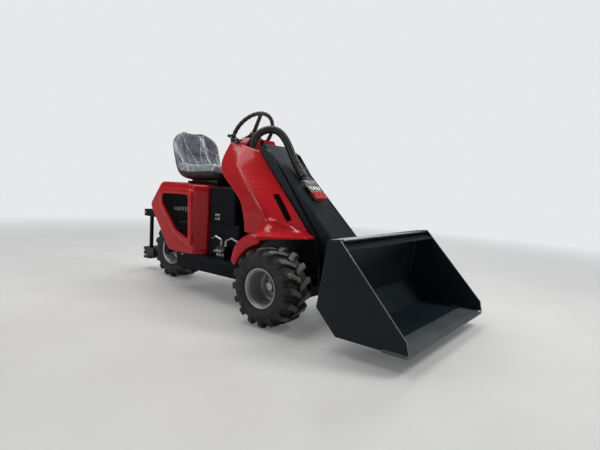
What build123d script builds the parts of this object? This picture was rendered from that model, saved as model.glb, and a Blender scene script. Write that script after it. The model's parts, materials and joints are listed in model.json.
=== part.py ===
from build123d import *
import os
from math import cos, radians, sin, tan

# A three-wheeled ride-on loader: two driven front wheels, one steered rear wheel, boom and bucket.
# Lengths are in millimetres. X runs forward from the front axle, Y to the left, Z up from the floor.
# On saving, every piece is moved along X so that the origin lies under the middle of the machine.

# Overall layout
WHEELBASE = 1440
TRACK = 880
FRONT_REACH = 923
REAR_OVERHANG = 483

# Clearances and fits
SEAT_GAP = 0.3
RUN_GAP = 0.05
SIDE_GAP = 10

# Tyres, the same on all three wheels
TYRE_DIA = 460
TYRE_WIDTH = 216
LUG_HEIGHT = 18
LUG_PITCHES = 16
LUG_LENGTH = 36
LUG_SWEEP = 36

# Rims
RIM_FLANGE_DIA = 236
BEAD_DIA = 203
RIM_WIDTH = 194
RIM_WALL = 6
DISC_THICK = 8
HUB_R = 34
FRONT_DISC_AT = -26
FRONT_HUB_BACK = 75
SHAFT_R = 17.5
MOTOR_R = 48
REAR_AXLE_R = 15

# Chassis frame
FRAME_HALF = 250
FRAME_BOTTOM = 160
FRAME_TOP = 290
FRAME_REAR = -1150
FRAME_FRONT = 150
FRONT_PLATE_TOP = 225
PLATE = 10
FLOOR_PLATE = 8

# Boom tower and boom
PIVOT_X = -370
PIVOT_Z = 1000
PIVOT_R = 20
TOWER_REAR = -470
TOWER_BACK_TOP = 850
BOOM_LENGTH = 1004
BOOM_ANGLE = -44.2
BOOM_HALF = 145
BOOM_ABOVE = 58
BOOM_BELOW = 65
BOOM_TAIL = 75
BOOM_NOSE_R = 45
BOOM_TOP_END = 900
BUCKET_PIN_R = 17.5

# Lift cylinder, on the centre plane between the tower plates
LIFT_BASE_X = -300
LIFT_BASE_Z = 240
LIFT_EYE_X = -190
LIFT_EYE_Z = 740
LIFT_BARREL_R = 32
LIFT_ROD_R = 15
LIFT_PIN_R = 15
LIFT_BARREL_LENGTH = 440
LIFT_ROD_LENGTH = 450
EYE_WIDTH = 36
LUG_GAP = 2
LUG_PLATE = 10

# Tilt cylinder, inside the boom channel
TILT_BASE_ALONG = 430
TILT_BASE_UP = -20
TILT_ARM = 95
TILT_ARM_ANGLE = -80
TILT_BARREL_R = 25
TILT_ROD_R = 12.5
TILT_PIN_R = 12.5
TILT_BARREL_LENGTH = 450
TILT_ROD_LENGTH = 440

# Bucket side view, from the heel round the back to the lip
BUCKET_HALF = 545
BUCKET_HEEL = (532, 85)
BUCKET_LOW_BACK = (407, 211)
BUCKET_TOP_BACK = (457, 557)
BUCKET_TOP_FRONT = (529, 565)
BUCKET_LIP_TOP = (908, 152)
BUCKET_SHEET = 8
BUCKET_SIDE = 8
BLADE_START = 790
BLADE_THICK = 16
BLADE_BEVEL = 34

# Quick-attach frame behind the bucket
ATTACH_HALF = 200
ATTACH_PLATE = 12
ATTACH_LOW = 12
ATTACH_HIGH = 300
EAR_THICK = 12
EAR_R = 44

# Front covers and fenders
COVER_INNER = 165
COVER_WALL = 5
COVER_BASE = 506
FENDER_R = 275
FENDER_SHEET = 10
FENDER_OUT = 520
FENDER_LOW = 345
FENDER_FRONT = 110
FENDER_MID_ANGLE = 125
SLOT_WIDTH = 34
SLOT_LENGTH = 190
SLOT_LOW = (-45, 245, 605)
SLOT_HIGH = (-160, 245, 775)
SLOT_FACES = (0.70, 0.52, 0.48)

# Rear engine cover
REAR_HALF = 330
REAR_WALL = 5
REAR_TOP = 795
REAR_BACK_TOP_X = -1250
REAR_VERTEX = (-1400, 620)
REAR_LOW_X = -1150
REAR_FRONT_X = -800
REAR_CORNER_X = -862
REAR_INNER_HALF = 250
GRILLE_RAISE = 8
GRILLE_BORDER = 30
GRILLE_SLOTS = 13
GRILLE_SHEET = 3

# Tank and lower box in front of the engine
TANK_REAR = -790
TANK_FRONT = -520
TANK_BOTTOM = 530
TANK_TOP = 785
LOWER_FRONT = -485
LOWER_HALF = 240

# Rear bridge over the steered wheel
BEAM_HALF = 90
BEAM_BOTTOM = 490
BEAM_TOP = 550
BEAM_REAR = -1850
FORK_CROWN = 16
FORK_CROWN_GAP = 6
FORK_LEG = 12
FORK_SIDE_GAP = 17
FORK_WIDTH = 64
KINGPIN_R = 22
POST_X = -1780
POST_SIZE = 24
POST_SPREAD = 60
HITCH_TOP = 205
HITCH_BOTTOM = 95
HITCH_HALF = 45
HITCH_FRONT = -1725
HITCH_PIN_R = 12.5

# Seat
SEAT_HALF = 220
SEAT_FRONT = -740
SEAT_REAR = -1250
SEAT_BASE = 820
SEAT_BASE_HALF = 150
SEAT_BASE_INSET = 80
SEAT_TOP = 930
SEAT_DIP = 25
CUSHION_CORNER_R = 95
BACK_TOP_X = -1350
BACK_TOP = 1227
BACK_THICK = 90
BACK_CORNER_R = 130

# Quick couplers on the boom
COUPLER_FROM = 292
COUPLER_TO = 400
COUPLER_UP = 84
COUPLER_R = 12
COUPLER_PITCH = 28
COUPLER_COUNT = 4
COUPLER_MID = 4

# Control levers on the right cover
LEVER_BASE = (-645, -560, -202, -170)
LEVER_BASE_THICK = 6
LEVER_X = (-632, -604, -576)
LEVER_FOOT_Y = -196
LEVER_KNOB_Y = -224
LEVER_RISE = 34
LEVER_SET_BACK = 8
LEVER_R = 4
KNOB_R = 11

# Foot plates, valve block and its pipes
STEP_REAR = -795
STEP_FRONT = -390
STEP_OUT = 360
STEP_SHEET = 6
STEP_LIP = 24
VALVE_REAR = -640
VALVE_FRONT = -560
VALVE_OUT = 300
VALVE_HIGH = 84
PIPE_R = 7
PIPE_BEND_R = 14
PIPE_Y = -270
PIPE_FROM_MIDDLE = 22

# Steering column and wheel
WHEEL_X = -628
WHEEL_Z = 1177
WHEEL_RIM_R = 189
WHEEL_GRIP_R = 13
COLUMN_LEAN = 56
COLUMN_R = 24
COLUMN_SHAFT_R = 9
COWL_FRONT = -530
COWL_REAR = -605
COWL_TOP = 1140

AXLE_Z = TYRE_DIA / 2
HALF_TRACK = TRACK / 2
HITCH_END = -(WHEELBASE + REAR_OVERHANG)
MID_SHIFT = -(FRONT_REACH + HITCH_END) / 2
TYRE_R = TYRE_DIA / 2
TYRE_HALF = TYRE_WIDTH / 2
BEAD_R = BEAD_DIA / 2
RIM_HALF = RIM_WIDTH / 2
TOWER_INNER = BOOM_HALF + SIDE_GAP
MOTOR_END = HALF_TRACK - FRONT_HUB_BACK - 5

os.makedirs("parts", exist_ok=True)


def save(shape, name):
    """Write one piece, moved so that the origin lies under the middle of the machine."""
    export_step(Pos(MID_SHIFT, 0, 0) * shape, f"parts/{name}.step")


def side_cut(outline, y_low, y_high):
    """Solid with an outline in the X-Z plane, between two Y values."""
    face = Plane.XZ.offset(-y_low) * Polygon(*outline, align=None)
    return extrude(face, amount=y_high - y_low, dir=(0, 1, 0))


def plan_cut(outline, z_low, z_high):
    """Solid with an outline in the X-Y plane, between two heights."""
    face = Plane.XY.offset(z_low) * Polygon(*outline, align=None)
    return extrude(face, amount=z_high - z_low, dir=(0, 0, 1))


def block(x_low, x_high, y_low, y_high, z_low, z_high):
    """Rectangular block between two corners."""
    centre = Pos((x_low + x_high) / 2, (y_low + y_high) / 2, (z_low + z_high) / 2)
    return centre * Box(x_high - x_low, y_high - y_low, z_high - z_low)


def bar(radius, start, end):
    """Round bar between two points."""
    run = Vector(*end) - Vector(*start)
    return extrude(Plane(origin=start, z_dir=run) * Circle(radius), amount=run.length)


def cross_pin(radius, x, z, half_length):
    """Round pin across the machine, centred on the centre plane."""
    return bar(radius, (x, -half_length, z), (x, half_length, z))


def mirrored(shape):
    """The same piece on the other side of the centre plane."""
    return mirror(shape, about=Plane.XZ)


def offset_chain(points, distance):
    """Points of an open chain moved to the left of its direction by a distance."""
    chain = [Vector(x, y, 0) for x, y in points]
    normals = []
    for start, end in zip(chain, chain[1:]):
        run = (end - start).normalized()
        normals.append(Vector(-run.Y, run.X, 0))
    moved = [chain[0] + normals[0] * distance]
    for i in range(1, len(chain) - 1):
        bisector = normals[i - 1] + normals[i]
        moved.append(chain[i] + bisector * (2 * distance / bisector.dot(bisector)))
    moved.append(chain[-1] + normals[-1] * distance)
    return [(p.X, p.Y) for p in moved]


def offset_loop(points, distance):
    """Corner points of a closed outline moved to the left of its direction by a distance."""
    wrapped = [points[-1]] + list(points) + [points[0]]
    return offset_chain(wrapped, distance)[1:-1]


def boom_point(along, up):
    """X and Z of a point given along the boom from its pivot and square to it."""
    angle = radians(BOOM_ANGLE)
    x = PIVOT_X + along * cos(angle) - up * sin(angle)
    z = PIVOT_Z + along * sin(angle) + up * cos(angle)
    return (x, z)


TIP_X, TIP_Z = boom_point(BOOM_LENGTH, 0)
TILT_BASE = boom_point(TILT_BASE_ALONG, TILT_BASE_UP)
TILT_EYE = boom_point(
    BOOM_LENGTH + TILT_ARM * cos(radians(TILT_ARM_ANGLE)),
    TILT_ARM * sin(radians(TILT_ARM_ANGLE)),
)
WIDTH_PLANE = Plane(origin=(0, 0, 0), x_dir=(0, 0, 1), z_dir=(-1, 0, 0))


# Wheels
def tyre():
    """Solid tyre with two staggered rows of kinked bar lugs, turned about the Y axis."""
    crown = TYRE_R - LUG_HEIGHT
    bead = RIM_HALF - 7 - SEAT_GAP
    seat = BEAD_R + SEAT_GAP
    flange = RIM_FLANGE_DIA / 2 + 2
    side = [(seat, bead), (flange, bead), (flange + 8, TYRE_HALF - 8)]
    shoulder = [(crown - 20, TYRE_HALF - 8), (crown - 6, TYRE_HALF - 24), (crown, TYRE_HALF - 48)]
    bulge = (TYRE_R * 0.7, TYRE_HALF)
    left_arc = ThreePointArc(side[-1], bulge, shoulder[0])
    right_arc = ThreePointArc(*[(r, -w) for r, w in (side[-1], bulge, shoulder[0])])
    tread = shoulder + [(r, -w) for r, w in reversed(shoulder)]
    inside = [(r, -w) for r, w in reversed(side)] + side
    outline = Curve() + [left_arc, Polyline(*tread), right_arc, Polyline(*inside)]
    body = revolve(WIDTH_PLANE * make_face(outline), axis=Axis.Y)

    ring = [
        (crown - 6, -8), (TYRE_R, -8), (TYRE_R, TYRE_HALF - 28), (TYRE_R - 8, TYRE_HALF - 10),
        (TYRE_R - 32, TYRE_HALF), (crown - 30, TYRE_HALF - 9), (crown - 12, TYRE_HALF - 28),
        (crown - 6, TYRE_HALF - 50),
    ]
    band = revolve(WIDTH_PLANE * Polygon(*ring, align=None), axis=Axis.Y)
    lug_plane = Plane(origin=(0, 0, crown - 40), x_dir=(0, 1, 0), z_dir=(0, 0, 1))
    plan = [
        (-6, -LUG_SWEEP), (42, 0), (TYRE_HALF + 2, 4), (TYRE_HALF + 2, 4 + LUG_LENGTH),
        (30, LUG_LENGTH - 4), (-6, LUG_LENGTH - 6 - LUG_SWEEP),
    ]
    prism = extrude(lug_plane * Polygon(*plan, align=None), amount=LUG_HEIGHT + 60)
    lug = prism & band
    other = mirrored(lug)
    step = 360 / LUG_PITCHES
    lugs = [Rot(0, step * i, 0) * lug for i in range(LUG_PITCHES)]
    lugs += [Rot(0, step * (i + 0.5), 0) * other for i in range(LUG_PITCHES)]
    return body + lugs


def rim(disc_at, hub_low, hub_high, bore_r, bore_depth):
    """Deep-dish rim with its hub; the outside of the wheel is toward +Y."""
    flange = RIM_FLANGE_DIA / 2
    inner = BEAD_R - RIM_WALL
    back = disc_at - DISC_THICK / 2
    front = disc_at + DISC_THICK / 2
    section = [
        (flange, -RIM_HALF), (flange, 7 - RIM_HALF), (BEAD_R, 7 - RIM_HALF), (BEAD_R, RIM_HALF - 7),
        (flange, RIM_HALF - 7), (flange, RIM_HALF), (inner + 8, RIM_HALF), (inner, RIM_HALF - 10),
        (inner, front + 12), (inner - 12, front), (HUB_R, front), (HUB_R, hub_high),
        (0, hub_high), (0, hub_low), (HUB_R, hub_low), (HUB_R, back), (inner, back),
        (inner, 10 - RIM_HALF), (inner + 8, -RIM_HALF),
    ]
    wheel = revolve(WIDTH_PLANE * Polygon(*section, align=None), axis=Axis.Y)
    return wheel - bar(bore_r, (0, hub_low - 1, 0), (0, hub_low + bore_depth, 0))


FRONT_BORE_DEPTH = FRONT_HUB_BACK + 4
TYRE = tyre()
FRONT_RIM = rim(FRONT_DISC_AT, -FRONT_HUB_BACK, 14, SHAFT_R + RUN_GAP, FRONT_BORE_DEPTH)
REAR_HUB_HALF = TYRE_HALF - 8
REAR_RIM = rim(0, -REAR_HUB_HALF, REAR_HUB_HALF, REAR_AXLE_R + RUN_GAP, 2 * REAR_HUB_HALF + 2)

save(Pos(0, HALF_TRACK, AXLE_Z) * TYRE, "front_left_tyre")
save(Pos(0, HALF_TRACK, AXLE_Z) * FRONT_RIM, "front_left_rim")
save(mirrored(Pos(0, HALF_TRACK, AXLE_Z) * TYRE), "front_right_tyre")
save(mirrored(Pos(0, HALF_TRACK, AXLE_Z) * FRONT_RIM), "front_right_rim")
save(Pos(-WHEELBASE, 0, AXLE_Z) * TYRE, "rear_tyre")
save(Pos(-WHEELBASE, 0, AXLE_Z) * REAR_RIM, "rear_rim")


# Wheel motors, bolted to the frame sides
def wheel_motor():
    """Left wheel motor with its flange and output shaft."""
    flange = bar(MOTOR_R + 20, (0, FRAME_HALF, AXLE_Z), (0, FRAME_HALF + 14, AXLE_Z))
    body = bar(MOTOR_R, (0, FRAME_HALF, AXLE_Z), (0, MOTOR_END, AXLE_Z))
    shaft = bar(SHAFT_R, (0, MOTOR_END, AXLE_Z), (0, HALF_TRACK + 2, AXLE_Z))
    return flange + body + shaft


save(wheel_motor(), "wheel_motor_left")
save(mirrored(wheel_motor()), "wheel_motor_right")


# Chassis frame
def clevis(x, z, radius, foot_z):
    """Two lug plates with their pin, standing on a plate at foot_z."""
    inner = EYE_WIDTH / 2 + LUG_GAP
    outer = inner + LUG_PLATE
    low, high = sorted((foot_z, z))
    plate = block(x - radius - 12, x + radius + 12, inner, outer, low, high)
    plate += bar(radius + 12, (x, inner, z), (x, outer, z))
    return plate + mirrored(plate)


def frame():
    """Welded frame: side plates, floor plate, deck strips, cross plates and the lift cylinder lugs."""
    side = block(FRAME_REAR, FRAME_FRONT, FRAME_HALF - PLATE, FRAME_HALF, FRAME_BOTTOM, FRAME_TOP)
    strip = block(TOWER_REAR, FRAME_FRONT, TOWER_INNER + PLATE, FRAME_HALF, FRAME_TOP - FLOOR_PLATE, FRAME_TOP)
    body = side + strip + mirrored(side) + mirrored(strip)
    inner = FRAME_HALF - PLATE
    floor_top = FRAME_BOTTOM + FLOOR_PLATE
    body += block(FRAME_REAR, FRAME_FRONT, -inner, inner, FRAME_BOTTOM, floor_top)
    body += block(FRAME_REAR, TOWER_REAR, -inner, inner, FRAME_TOP - FLOOR_PLATE, FRAME_TOP)
    for x in (FRAME_REAR, TOWER_REAR - FLOOR_PLATE):
        body += block(x, x + FLOOR_PLATE, -inner, inner, floor_top, FRAME_TOP)
    body += block(FRAME_FRONT - FLOOR_PLATE, FRAME_FRONT, -inner, inner, floor_top, FRONT_PLATE_TOP)
    body += clevis(LIFT_BASE_X, LIFT_BASE_Z, LIFT_PIN_R, floor_top)
    return body + cross_pin(LIFT_PIN_R, LIFT_BASE_X, LIFT_BASE_Z, EYE_WIDTH / 2 + LUG_GAP + LUG_PLATE)


save(frame(), "chassis_frame")


# Boom tower
def tower():
    """Two tower plates on the floor plate, the rear cross plate and the boom pivot pin."""
    floor_top = FRAME_BOTTOM + FLOOR_PLATE
    outline = [
        (TOWER_REAR, floor_top), (FRAME_FRONT - FLOOR_PLATE, floor_top), (FRAME_FRONT - FLOOR_PLATE, 330),
        (118, 505), (PIVOT_X + 60, PIVOT_Z + 40), (PIVOT_X + 25, PIVOT_Z + 58), (PIVOT_X - 25, PIVOT_Z + 58),
        (PIVOT_X - 62, PIVOT_Z + 20), (TOWER_REAR, TOWER_BACK_TOP),
    ]
    plate = side_cut(outline, TOWER_INNER, TOWER_INNER + PLATE)
    back = block(TOWER_REAR, TOWER_REAR + FLOOR_PLATE, -TOWER_INNER, TOWER_INNER, FRAME_TOP, TOWER_BACK_TOP)
    pin = cross_pin(PIVOT_R, PIVOT_X, PIVOT_Z, TOWER_INNER + PLATE)
    return plate + mirrored(plate) + back + pin


save(tower(), "boom_tower")


# Boom
def boom():
    """Inverted channel with pivot and bucket-pin tubes, cylinder lugs and the bucket pin."""
    side = [
        boom_point(-BOOM_TAIL, -20), boom_point(-30, -BOOM_BELOW), boom_point(BOOM_TOP_END, -BOOM_BELOW),
        boom_point(BOOM_LENGTH, -BOOM_NOSE_R), boom_point(BOOM_LENGTH + 33, -30),
        boom_point(BOOM_LENGTH + BOOM_NOSE_R, 0), boom_point(BOOM_LENGTH + 33, 30),
        boom_point(BOOM_LENGTH, BOOM_NOSE_R), boom_point(BOOM_TOP_END, BOOM_ABOVE),
        boom_point(-BOOM_TAIL, BOOM_ABOVE),
    ]
    plate = side_cut(side, BOOM_HALF - PLATE, BOOM_HALF)
    top = [
        boom_point(-BOOM_TAIL, BOOM_ABOVE - FLOOR_PLATE), boom_point(BOOM_TOP_END, BOOM_ABOVE - FLOOR_PLATE),
        boom_point(BOOM_TOP_END, BOOM_ABOVE), boom_point(-BOOM_TAIL, BOOM_ABOVE),
    ]
    inner = BOOM_HALF - PLATE
    body = plate + mirrored(plate) + side_cut(top, -inner, inner)
    tube_half = TOWER_INNER - 0.5
    body += cross_pin(PIVOT_R + 18, PIVOT_X, PIVOT_Z, tube_half)
    body -= cross_pin(PIVOT_R + RUN_GAP, PIVOT_X, PIVOT_Z, tube_half + 5)
    body += cross_pin(38, TIP_X, TIP_Z, BOOM_HALF)
    body += cross_pin(BUCKET_PIN_R, TIP_X, TIP_Z, TOWER_INNER + EAR_THICK)
    body += boom_lugs(LIFT_EYE_X, LIFT_EYE_Z, LIFT_PIN_R, LIFT_PIN_R + 1)
    body += boom_lugs(TILT_BASE[0], TILT_BASE[1], TILT_PIN_R, 0)
    return body + cross_pin(TILT_PIN_R, TILT_BASE[0], TILT_BASE[1], EYE_WIDTH / 2 + LUG_GAP + LUG_PLATE)


def boom_lugs(x, z, pin_r, hole_r):
    """Pair of lugs hanging from the underside of the boom's top plate."""
    radius = pin_r + 12
    along = (x - PIVOT_X) * cos(radians(BOOM_ANGLE)) + (z - PIVOT_Z) * sin(radians(BOOM_ANGLE))
    up = (z - PIVOT_Z) * cos(radians(BOOM_ANGLE)) - (x - PIVOT_X) * sin(radians(BOOM_ANGLE))
    inner = EYE_WIDTH / 2 + LUG_GAP
    web = [
        boom_point(along - radius, up), boom_point(along + radius, up),
        boom_point(along + radius + 15, BOOM_ABOVE - FLOOR_PLATE),
        boom_point(along - radius - 15, BOOM_ABOVE - FLOOR_PLATE),
    ]
    lug = side_cut(web, inner, inner + LUG_PLATE)
    lug += bar(radius, (x, inner, z), (x, inner + LUG_PLATE, z))
    if hole_r:
        lug -= bar(hole_r, (x, inner - 1, z), (x, inner + LUG_PLATE + 1, z))
    return lug + mirrored(lug)


save(boom(), "boom_arm")


# Cylinders
def barrel(base, eye, radius, pin_r, rod_r, length):
    """Cylinder barrel with its base eye, bored through for the rod."""
    run = (Vector(eye[0], 0, eye[1]) - Vector(base[0], 0, base[1])).normalized()
    start = Vector(base[0], 0, base[1])
    foot = pin_r + 18
    body = bar(radius, tuple(start + run * foot), tuple(start + run * length))
    body += bar(EYE_WIDTH / 2 - 1, tuple(start), tuple(start + run * foot))
    body += cross_pin(pin_r + 11, base[0], base[1], EYE_WIDTH / 2)
    bore_start = start + run * (foot + 6)
    body -= bar(rod_r + RUN_GAP, tuple(bore_start), tuple(start + run * (length + 5)))
    return body - cross_pin(pin_r + RUN_GAP, base[0], base[1], EYE_WIDTH)


def rod(base, eye, pin_r, rod_r, length):
    """Cylinder rod with its eye; the pin ends stop short of the lugs beside it."""
    run = (Vector(eye[0], 0, eye[1]) - Vector(base[0], 0, base[1])).normalized()
    end = Vector(eye[0], 0, eye[1])
    body = bar(rod_r, tuple(end - run * length), tuple(end))
    body += cross_pin(pin_r + 9, eye[0], eye[1], EYE_WIDTH / 2 - 3)
    return body + cross_pin(pin_r, eye[0], eye[1], EYE_WIDTH / 2 + LUG_GAP - SEAT_GAP)


LIFT_BASE = (LIFT_BASE_X, LIFT_BASE_Z)
LIFT_EYE = (LIFT_EYE_X, LIFT_EYE_Z)
save(barrel(LIFT_BASE, LIFT_EYE, LIFT_BARREL_R, LIFT_PIN_R, LIFT_ROD_R, LIFT_BARREL_LENGTH), "lift_cylinder_barrel")
save(rod(LIFT_BASE, LIFT_EYE, LIFT_PIN_R, LIFT_ROD_R, LIFT_ROD_LENGTH), "lift_cylinder_rod")
save(barrel(TILT_BASE, TILT_EYE, TILT_BARREL_R, TILT_PIN_R, TILT_ROD_R, TILT_BARREL_LENGTH), "tilt_cylinder_barrel")
save(rod(TILT_BASE, TILT_EYE, TILT_PIN_R, TILT_ROD_R, TILT_ROD_LENGTH), "tilt_cylinder_rod")


# Bucket
BUCKET_EDGE = (FRONT_REACH, BUCKET_HEEL[1])
BLADE_TOP = BUCKET_HEEL[1] + BUCKET_SHEET
BLADE_LOW = BLADE_TOP - BLADE_THICK


def bucket():
    """Open bucket: bent sheet round floor, heel, back and top flange, between two side plates."""
    sides = [BUCKET_EDGE, BUCKET_LIP_TOP, BUCKET_TOP_FRONT, BUCKET_TOP_BACK, BUCKET_LOW_BACK, BUCKET_HEEL]
    side = side_cut(sides, BUCKET_HALF - BUCKET_SIDE, BUCKET_HALF)
    outer = [BUCKET_TOP_FRONT, BUCKET_TOP_BACK, BUCKET_LOW_BACK, BUCKET_HEEL, BUCKET_EDGE]
    inner = offset_chain(outer, BUCKET_SHEET)
    sheet = side_cut(outer + inner[::-1], -BUCKET_HALF + BUCKET_SIDE, BUCKET_HALF - BUCKET_SIDE)
    room = block(BLADE_START, FRONT_REACH + 5, -BUCKET_HALF - 5, BUCKET_HALF + 5, BLADE_LOW, BLADE_TOP)
    return side + mirrored(side) + sheet - room


def cutting_edge():
    """Thick blade along the front of the bucket floor, bevelled to its edge."""
    outline = [
        (BLADE_START, BLADE_LOW), (FRONT_REACH, BLADE_LOW),
        (FRONT_REACH, BLADE_LOW + 4), (FRONT_REACH - BLADE_BEVEL, BLADE_TOP), (BLADE_START, BLADE_TOP),
    ]
    return side_cut(outline, -BUCKET_HALF, BUCKET_HALF)


save(bucket(), "bucket_shell")
save(cutting_edge(), "cutting_edge")


# Quick-attach frame
def back_point(up, behind):
    """X and Z of a point up the bucket's back from its lower corner, and behind that face."""
    low = Vector(*BUCKET_LOW_BACK, 0)
    run = (Vector(*BUCKET_TOP_BACK, 0) - low).normalized()
    point = low + run * up + Vector(-run.Y, run.X, 0) * behind
    return (point.X, point.Y)


def quick_attach():
    """Plate against the bucket's back, with ears for the boom tip and for the tilt rod."""
    sheet = [
        back_point(ATTACH_LOW, 0), back_point(ATTACH_HIGH, 0),
        back_point(ATTACH_HIGH, ATTACH_PLATE), back_point(ATTACH_LOW, ATTACH_PLATE),
    ]
    body = side_cut(sheet, -ATTACH_HALF, ATTACH_HALF)
    web = [
        back_point(ATTACH_LOW, 1), back_point(ATTACH_HIGH - 60, 1),
        (TIP_X - 10, TIP_Z + EAR_R), (TIP_X - EAR_R, TIP_Z), (TIP_X - 10, TIP_Z - EAR_R),
    ]
    ear = side_cut(web, TOWER_INNER, TOWER_INNER + EAR_THICK)
    ear -= bar(BUCKET_PIN_R + RUN_GAP, (TIP_X, TOWER_INNER - 1, TIP_Z), (TIP_X, TOWER_INNER + EAR_THICK + 1, TIP_Z))
    inner = EYE_WIDTH / 2 + LUG_GAP
    radius = TILT_PIN_R + 12
    arm = [
        back_point(ATTACH_LOW, 1), back_point(ATTACH_LOW + 30, 1),
        (TILT_EYE[0], TILT_EYE[1] + radius), (TILT_EYE[0], TILT_EYE[1] - radius),
    ]
    lug = side_cut(arm, inner, inner + LUG_PLATE)
    lug += bar(radius, (TILT_EYE[0], inner, TILT_EYE[1]), (TILT_EYE[0], inner + LUG_PLATE, TILT_EYE[1]))
    lug -= bar(
        TILT_PIN_R + 1,
        (TILT_EYE[0], inner - 1, TILT_EYE[1]), (TILT_EYE[0], inner + LUG_PLATE + 1, TILT_EYE[1]),
    )
    return body + ear + mirrored(ear) + lug + mirrored(lug)


save(quick_attach(), "quick_attach_frame")


# Front covers: each is a lofted moulding with one crease, open below, with its fender
COVER_TOP_REAR = 1110
COVER_TOP_FALL = 0.24
COVER_SECTIONS = {
    "top": [(-645, COVER_INNER), (-378, COVER_INNER), (-500, 200), (-645, 205)],
    "vertex": [(-650, COVER_INNER), (-268, COVER_INNER), (-440, 325), (-655, 280)],
    "waist": [(-380, COVER_INNER), (-78, COVER_INNER), (-190, 362), (-372, 360)],
    "base": [(-330, COVER_INNER), (88, COVER_INNER), (-60, 362), (-320, 360)],
}
COVER_HEIGHTS = {"top": COVER_TOP_REAR, "vertex": 914, "waist": 700, "base": COVER_BASE}


def cover_ring(name, wall):
    """One section of the cover, drawn in by a wall thickness, with its top sloping forward."""
    corners = offset_loop(COVER_SECTIONS[name], wall)
    rear = corners[0][0]
    fall = COVER_TOP_FALL if name == "top" else 0
    height = COVER_HEIGHTS[name]
    if name == "top":
        height -= wall
    if name == "base":
        height -= 4 * wall
    points = [(x, y, height - fall * (x - rear)) for x, y in corners]
    return Face(Wire.make_polygon(points))


def cover_loft(wall):
    """Stacked ruled lofts between the cover's sections."""
    rings = [cover_ring(name, wall) for name in COVER_SECTIONS]
    body = Part()
    for low, high in zip(rings[1:], rings):
        body += loft([low, high], ruled=True)
    return body


def fender():
    """Sheet that follows the tyre from behind and runs forward, cut back to the cover's corner."""
    outer = FENDER_R + FENDER_SHEET
    drop = AXLE_Z - FENDER_LOW
    x_in = -(FENDER_R**2 - drop**2) ** 0.5
    x_out = -(outer**2 - drop**2) ** 0.5
    mid = radians(FENDER_MID_ANGLE)
    inner_arc = ThreePointArc(
        (x_in, FENDER_LOW), (FENDER_R * cos(mid), AXLE_Z + FENDER_R * sin(mid)), (0, AXLE_Z + FENDER_R)
    )
    outer_arc = ThreePointArc(
        (x_out, FENDER_LOW), (outer * cos(mid), AXLE_Z + outer * sin(mid)), (0, AXLE_Z + outer)
    )
    front = FENDER_FRONT
    ends = [
        Line((x_in, FENDER_LOW), (x_out, FENDER_LOW)),
        Polyline((0, AXLE_Z + FENDER_R), (front, AXLE_Z + FENDER_R), (front, AXLE_Z + outer), (0, AXLE_Z + outer)),
    ]
    face = Plane.XZ.offset(-COVER_INNER) * make_face(Curve() + [inner_arc, outer_arc] + ends)
    sheet = extrude(face, amount=FENDER_OUT - COVER_INNER, dir=(0, 1, 0))
    inside = block(-400, front, COVER_INNER - 5, 290, 0, AXLE_Z + FENDER_R - 20)
    corner = plan_cut([(-70, FENDER_OUT + 5), (front + 5, 250), (front + 5, FENDER_OUT + 5)], 300, 600)
    return sheet - corner - inside


def front_cover():
    """Left front cover with its fender and the slanted slot in its front face."""
    shell = cover_loft(0) - cover_loft(COVER_WALL)
    body = shell + fender()
    low = Vector(*SLOT_LOW)
    high = Vector(*SLOT_HIGH)
    run = (high - low).normalized()
    across = Vector(*SLOT_FACES).normalized()
    plane = Plane(origin=(low + high) / 2 - across * 60, x_dir=run, z_dir=across)
    return body - extrude(plane * SlotOverall(SLOT_LENGTH, SLOT_WIDTH), amount=140)


FRONT_COVER = front_cover()
save(FRONT_COVER, "front_cover_left")
save(mirrored(FRONT_COVER), "front_cover_right")


# Cowl between the covers, behind the boom pivot
def cowl():
    """Rounded hood that carries the steering column."""
    arch = [
        (-COVER_INNER, TOWER_BACK_TOP), (COVER_INNER, TOWER_BACK_TOP), (COVER_INNER, 1085),
        (COVER_INNER - 40, COWL_TOP), (40 - COVER_INNER, COWL_TOP), (-COVER_INNER, 1085),
    ]
    face = Plane(origin=(COWL_REAR, 0, 0), x_dir=(0, 1, 0), z_dir=(1, 0, 0)) * Polygon(*arch, align=None)
    return extrude(face, amount=COWL_FRONT - COWL_REAR)


LEAN = radians(COLUMN_LEAN)
COLUMN_DIR = Vector(sin(LEAN), 0, -cos(LEAN))
WHEEL_CENTRE = Vector(WHEEL_X, 0, WHEEL_Z)
HUB_FACE = 22


def column():
    """Steering column from the cowl's top to the wheel, with its turning shaft seat."""
    start = WHEEL_CENTRE + COLUMN_DIR * (HUB_FACE + 1)
    body = bar(COLUMN_R, tuple(start), tuple(start + COLUMN_DIR * 150))
    body += bar(COLUMN_SHAFT_R, tuple(start - COLUMN_DIR * 18), tuple(start))
    return body


COLUMN = column()
save(cowl() - COLUMN, "dash_cowl")
save(COLUMN & block(-700, COWL_FRONT, -100, 100, 900, 1300), "steering_column")


# Steering wheel
def steering_wheel():
    """Rim, hub and three spokes, one of them pointing up."""
    plane = Plane(origin=tuple(WHEEL_CENTRE), x_dir=(0, 1, 0), z_dir=tuple(COLUMN_DIR))
    rim_r = WHEEL_RIM_R - WHEEL_GRIP_R
    body = plane * Torus(rim_r, WHEEL_GRIP_R)
    body += plane * extrude(Circle(30), amount=HUB_FACE)
    body += plane * Pos(0, 0, -12) * extrude(Circle(26), amount=12)
    up = 90 if (plane.y_dir.Z > 0) else -90
    for turn in (0, 120, 240):
        spoke = Rot(0, 0, up + turn) * block(20, rim_r, -11, 11, -3, 5)
        body += plane * spoke
    hole = plane * Pos(0, 0, 2) * extrude(Circle(COLUMN_SHAFT_R + RUN_GAP), amount=HUB_FACE + 5)
    return body - hole


save(steering_wheel(), "steering_wheel")


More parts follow.
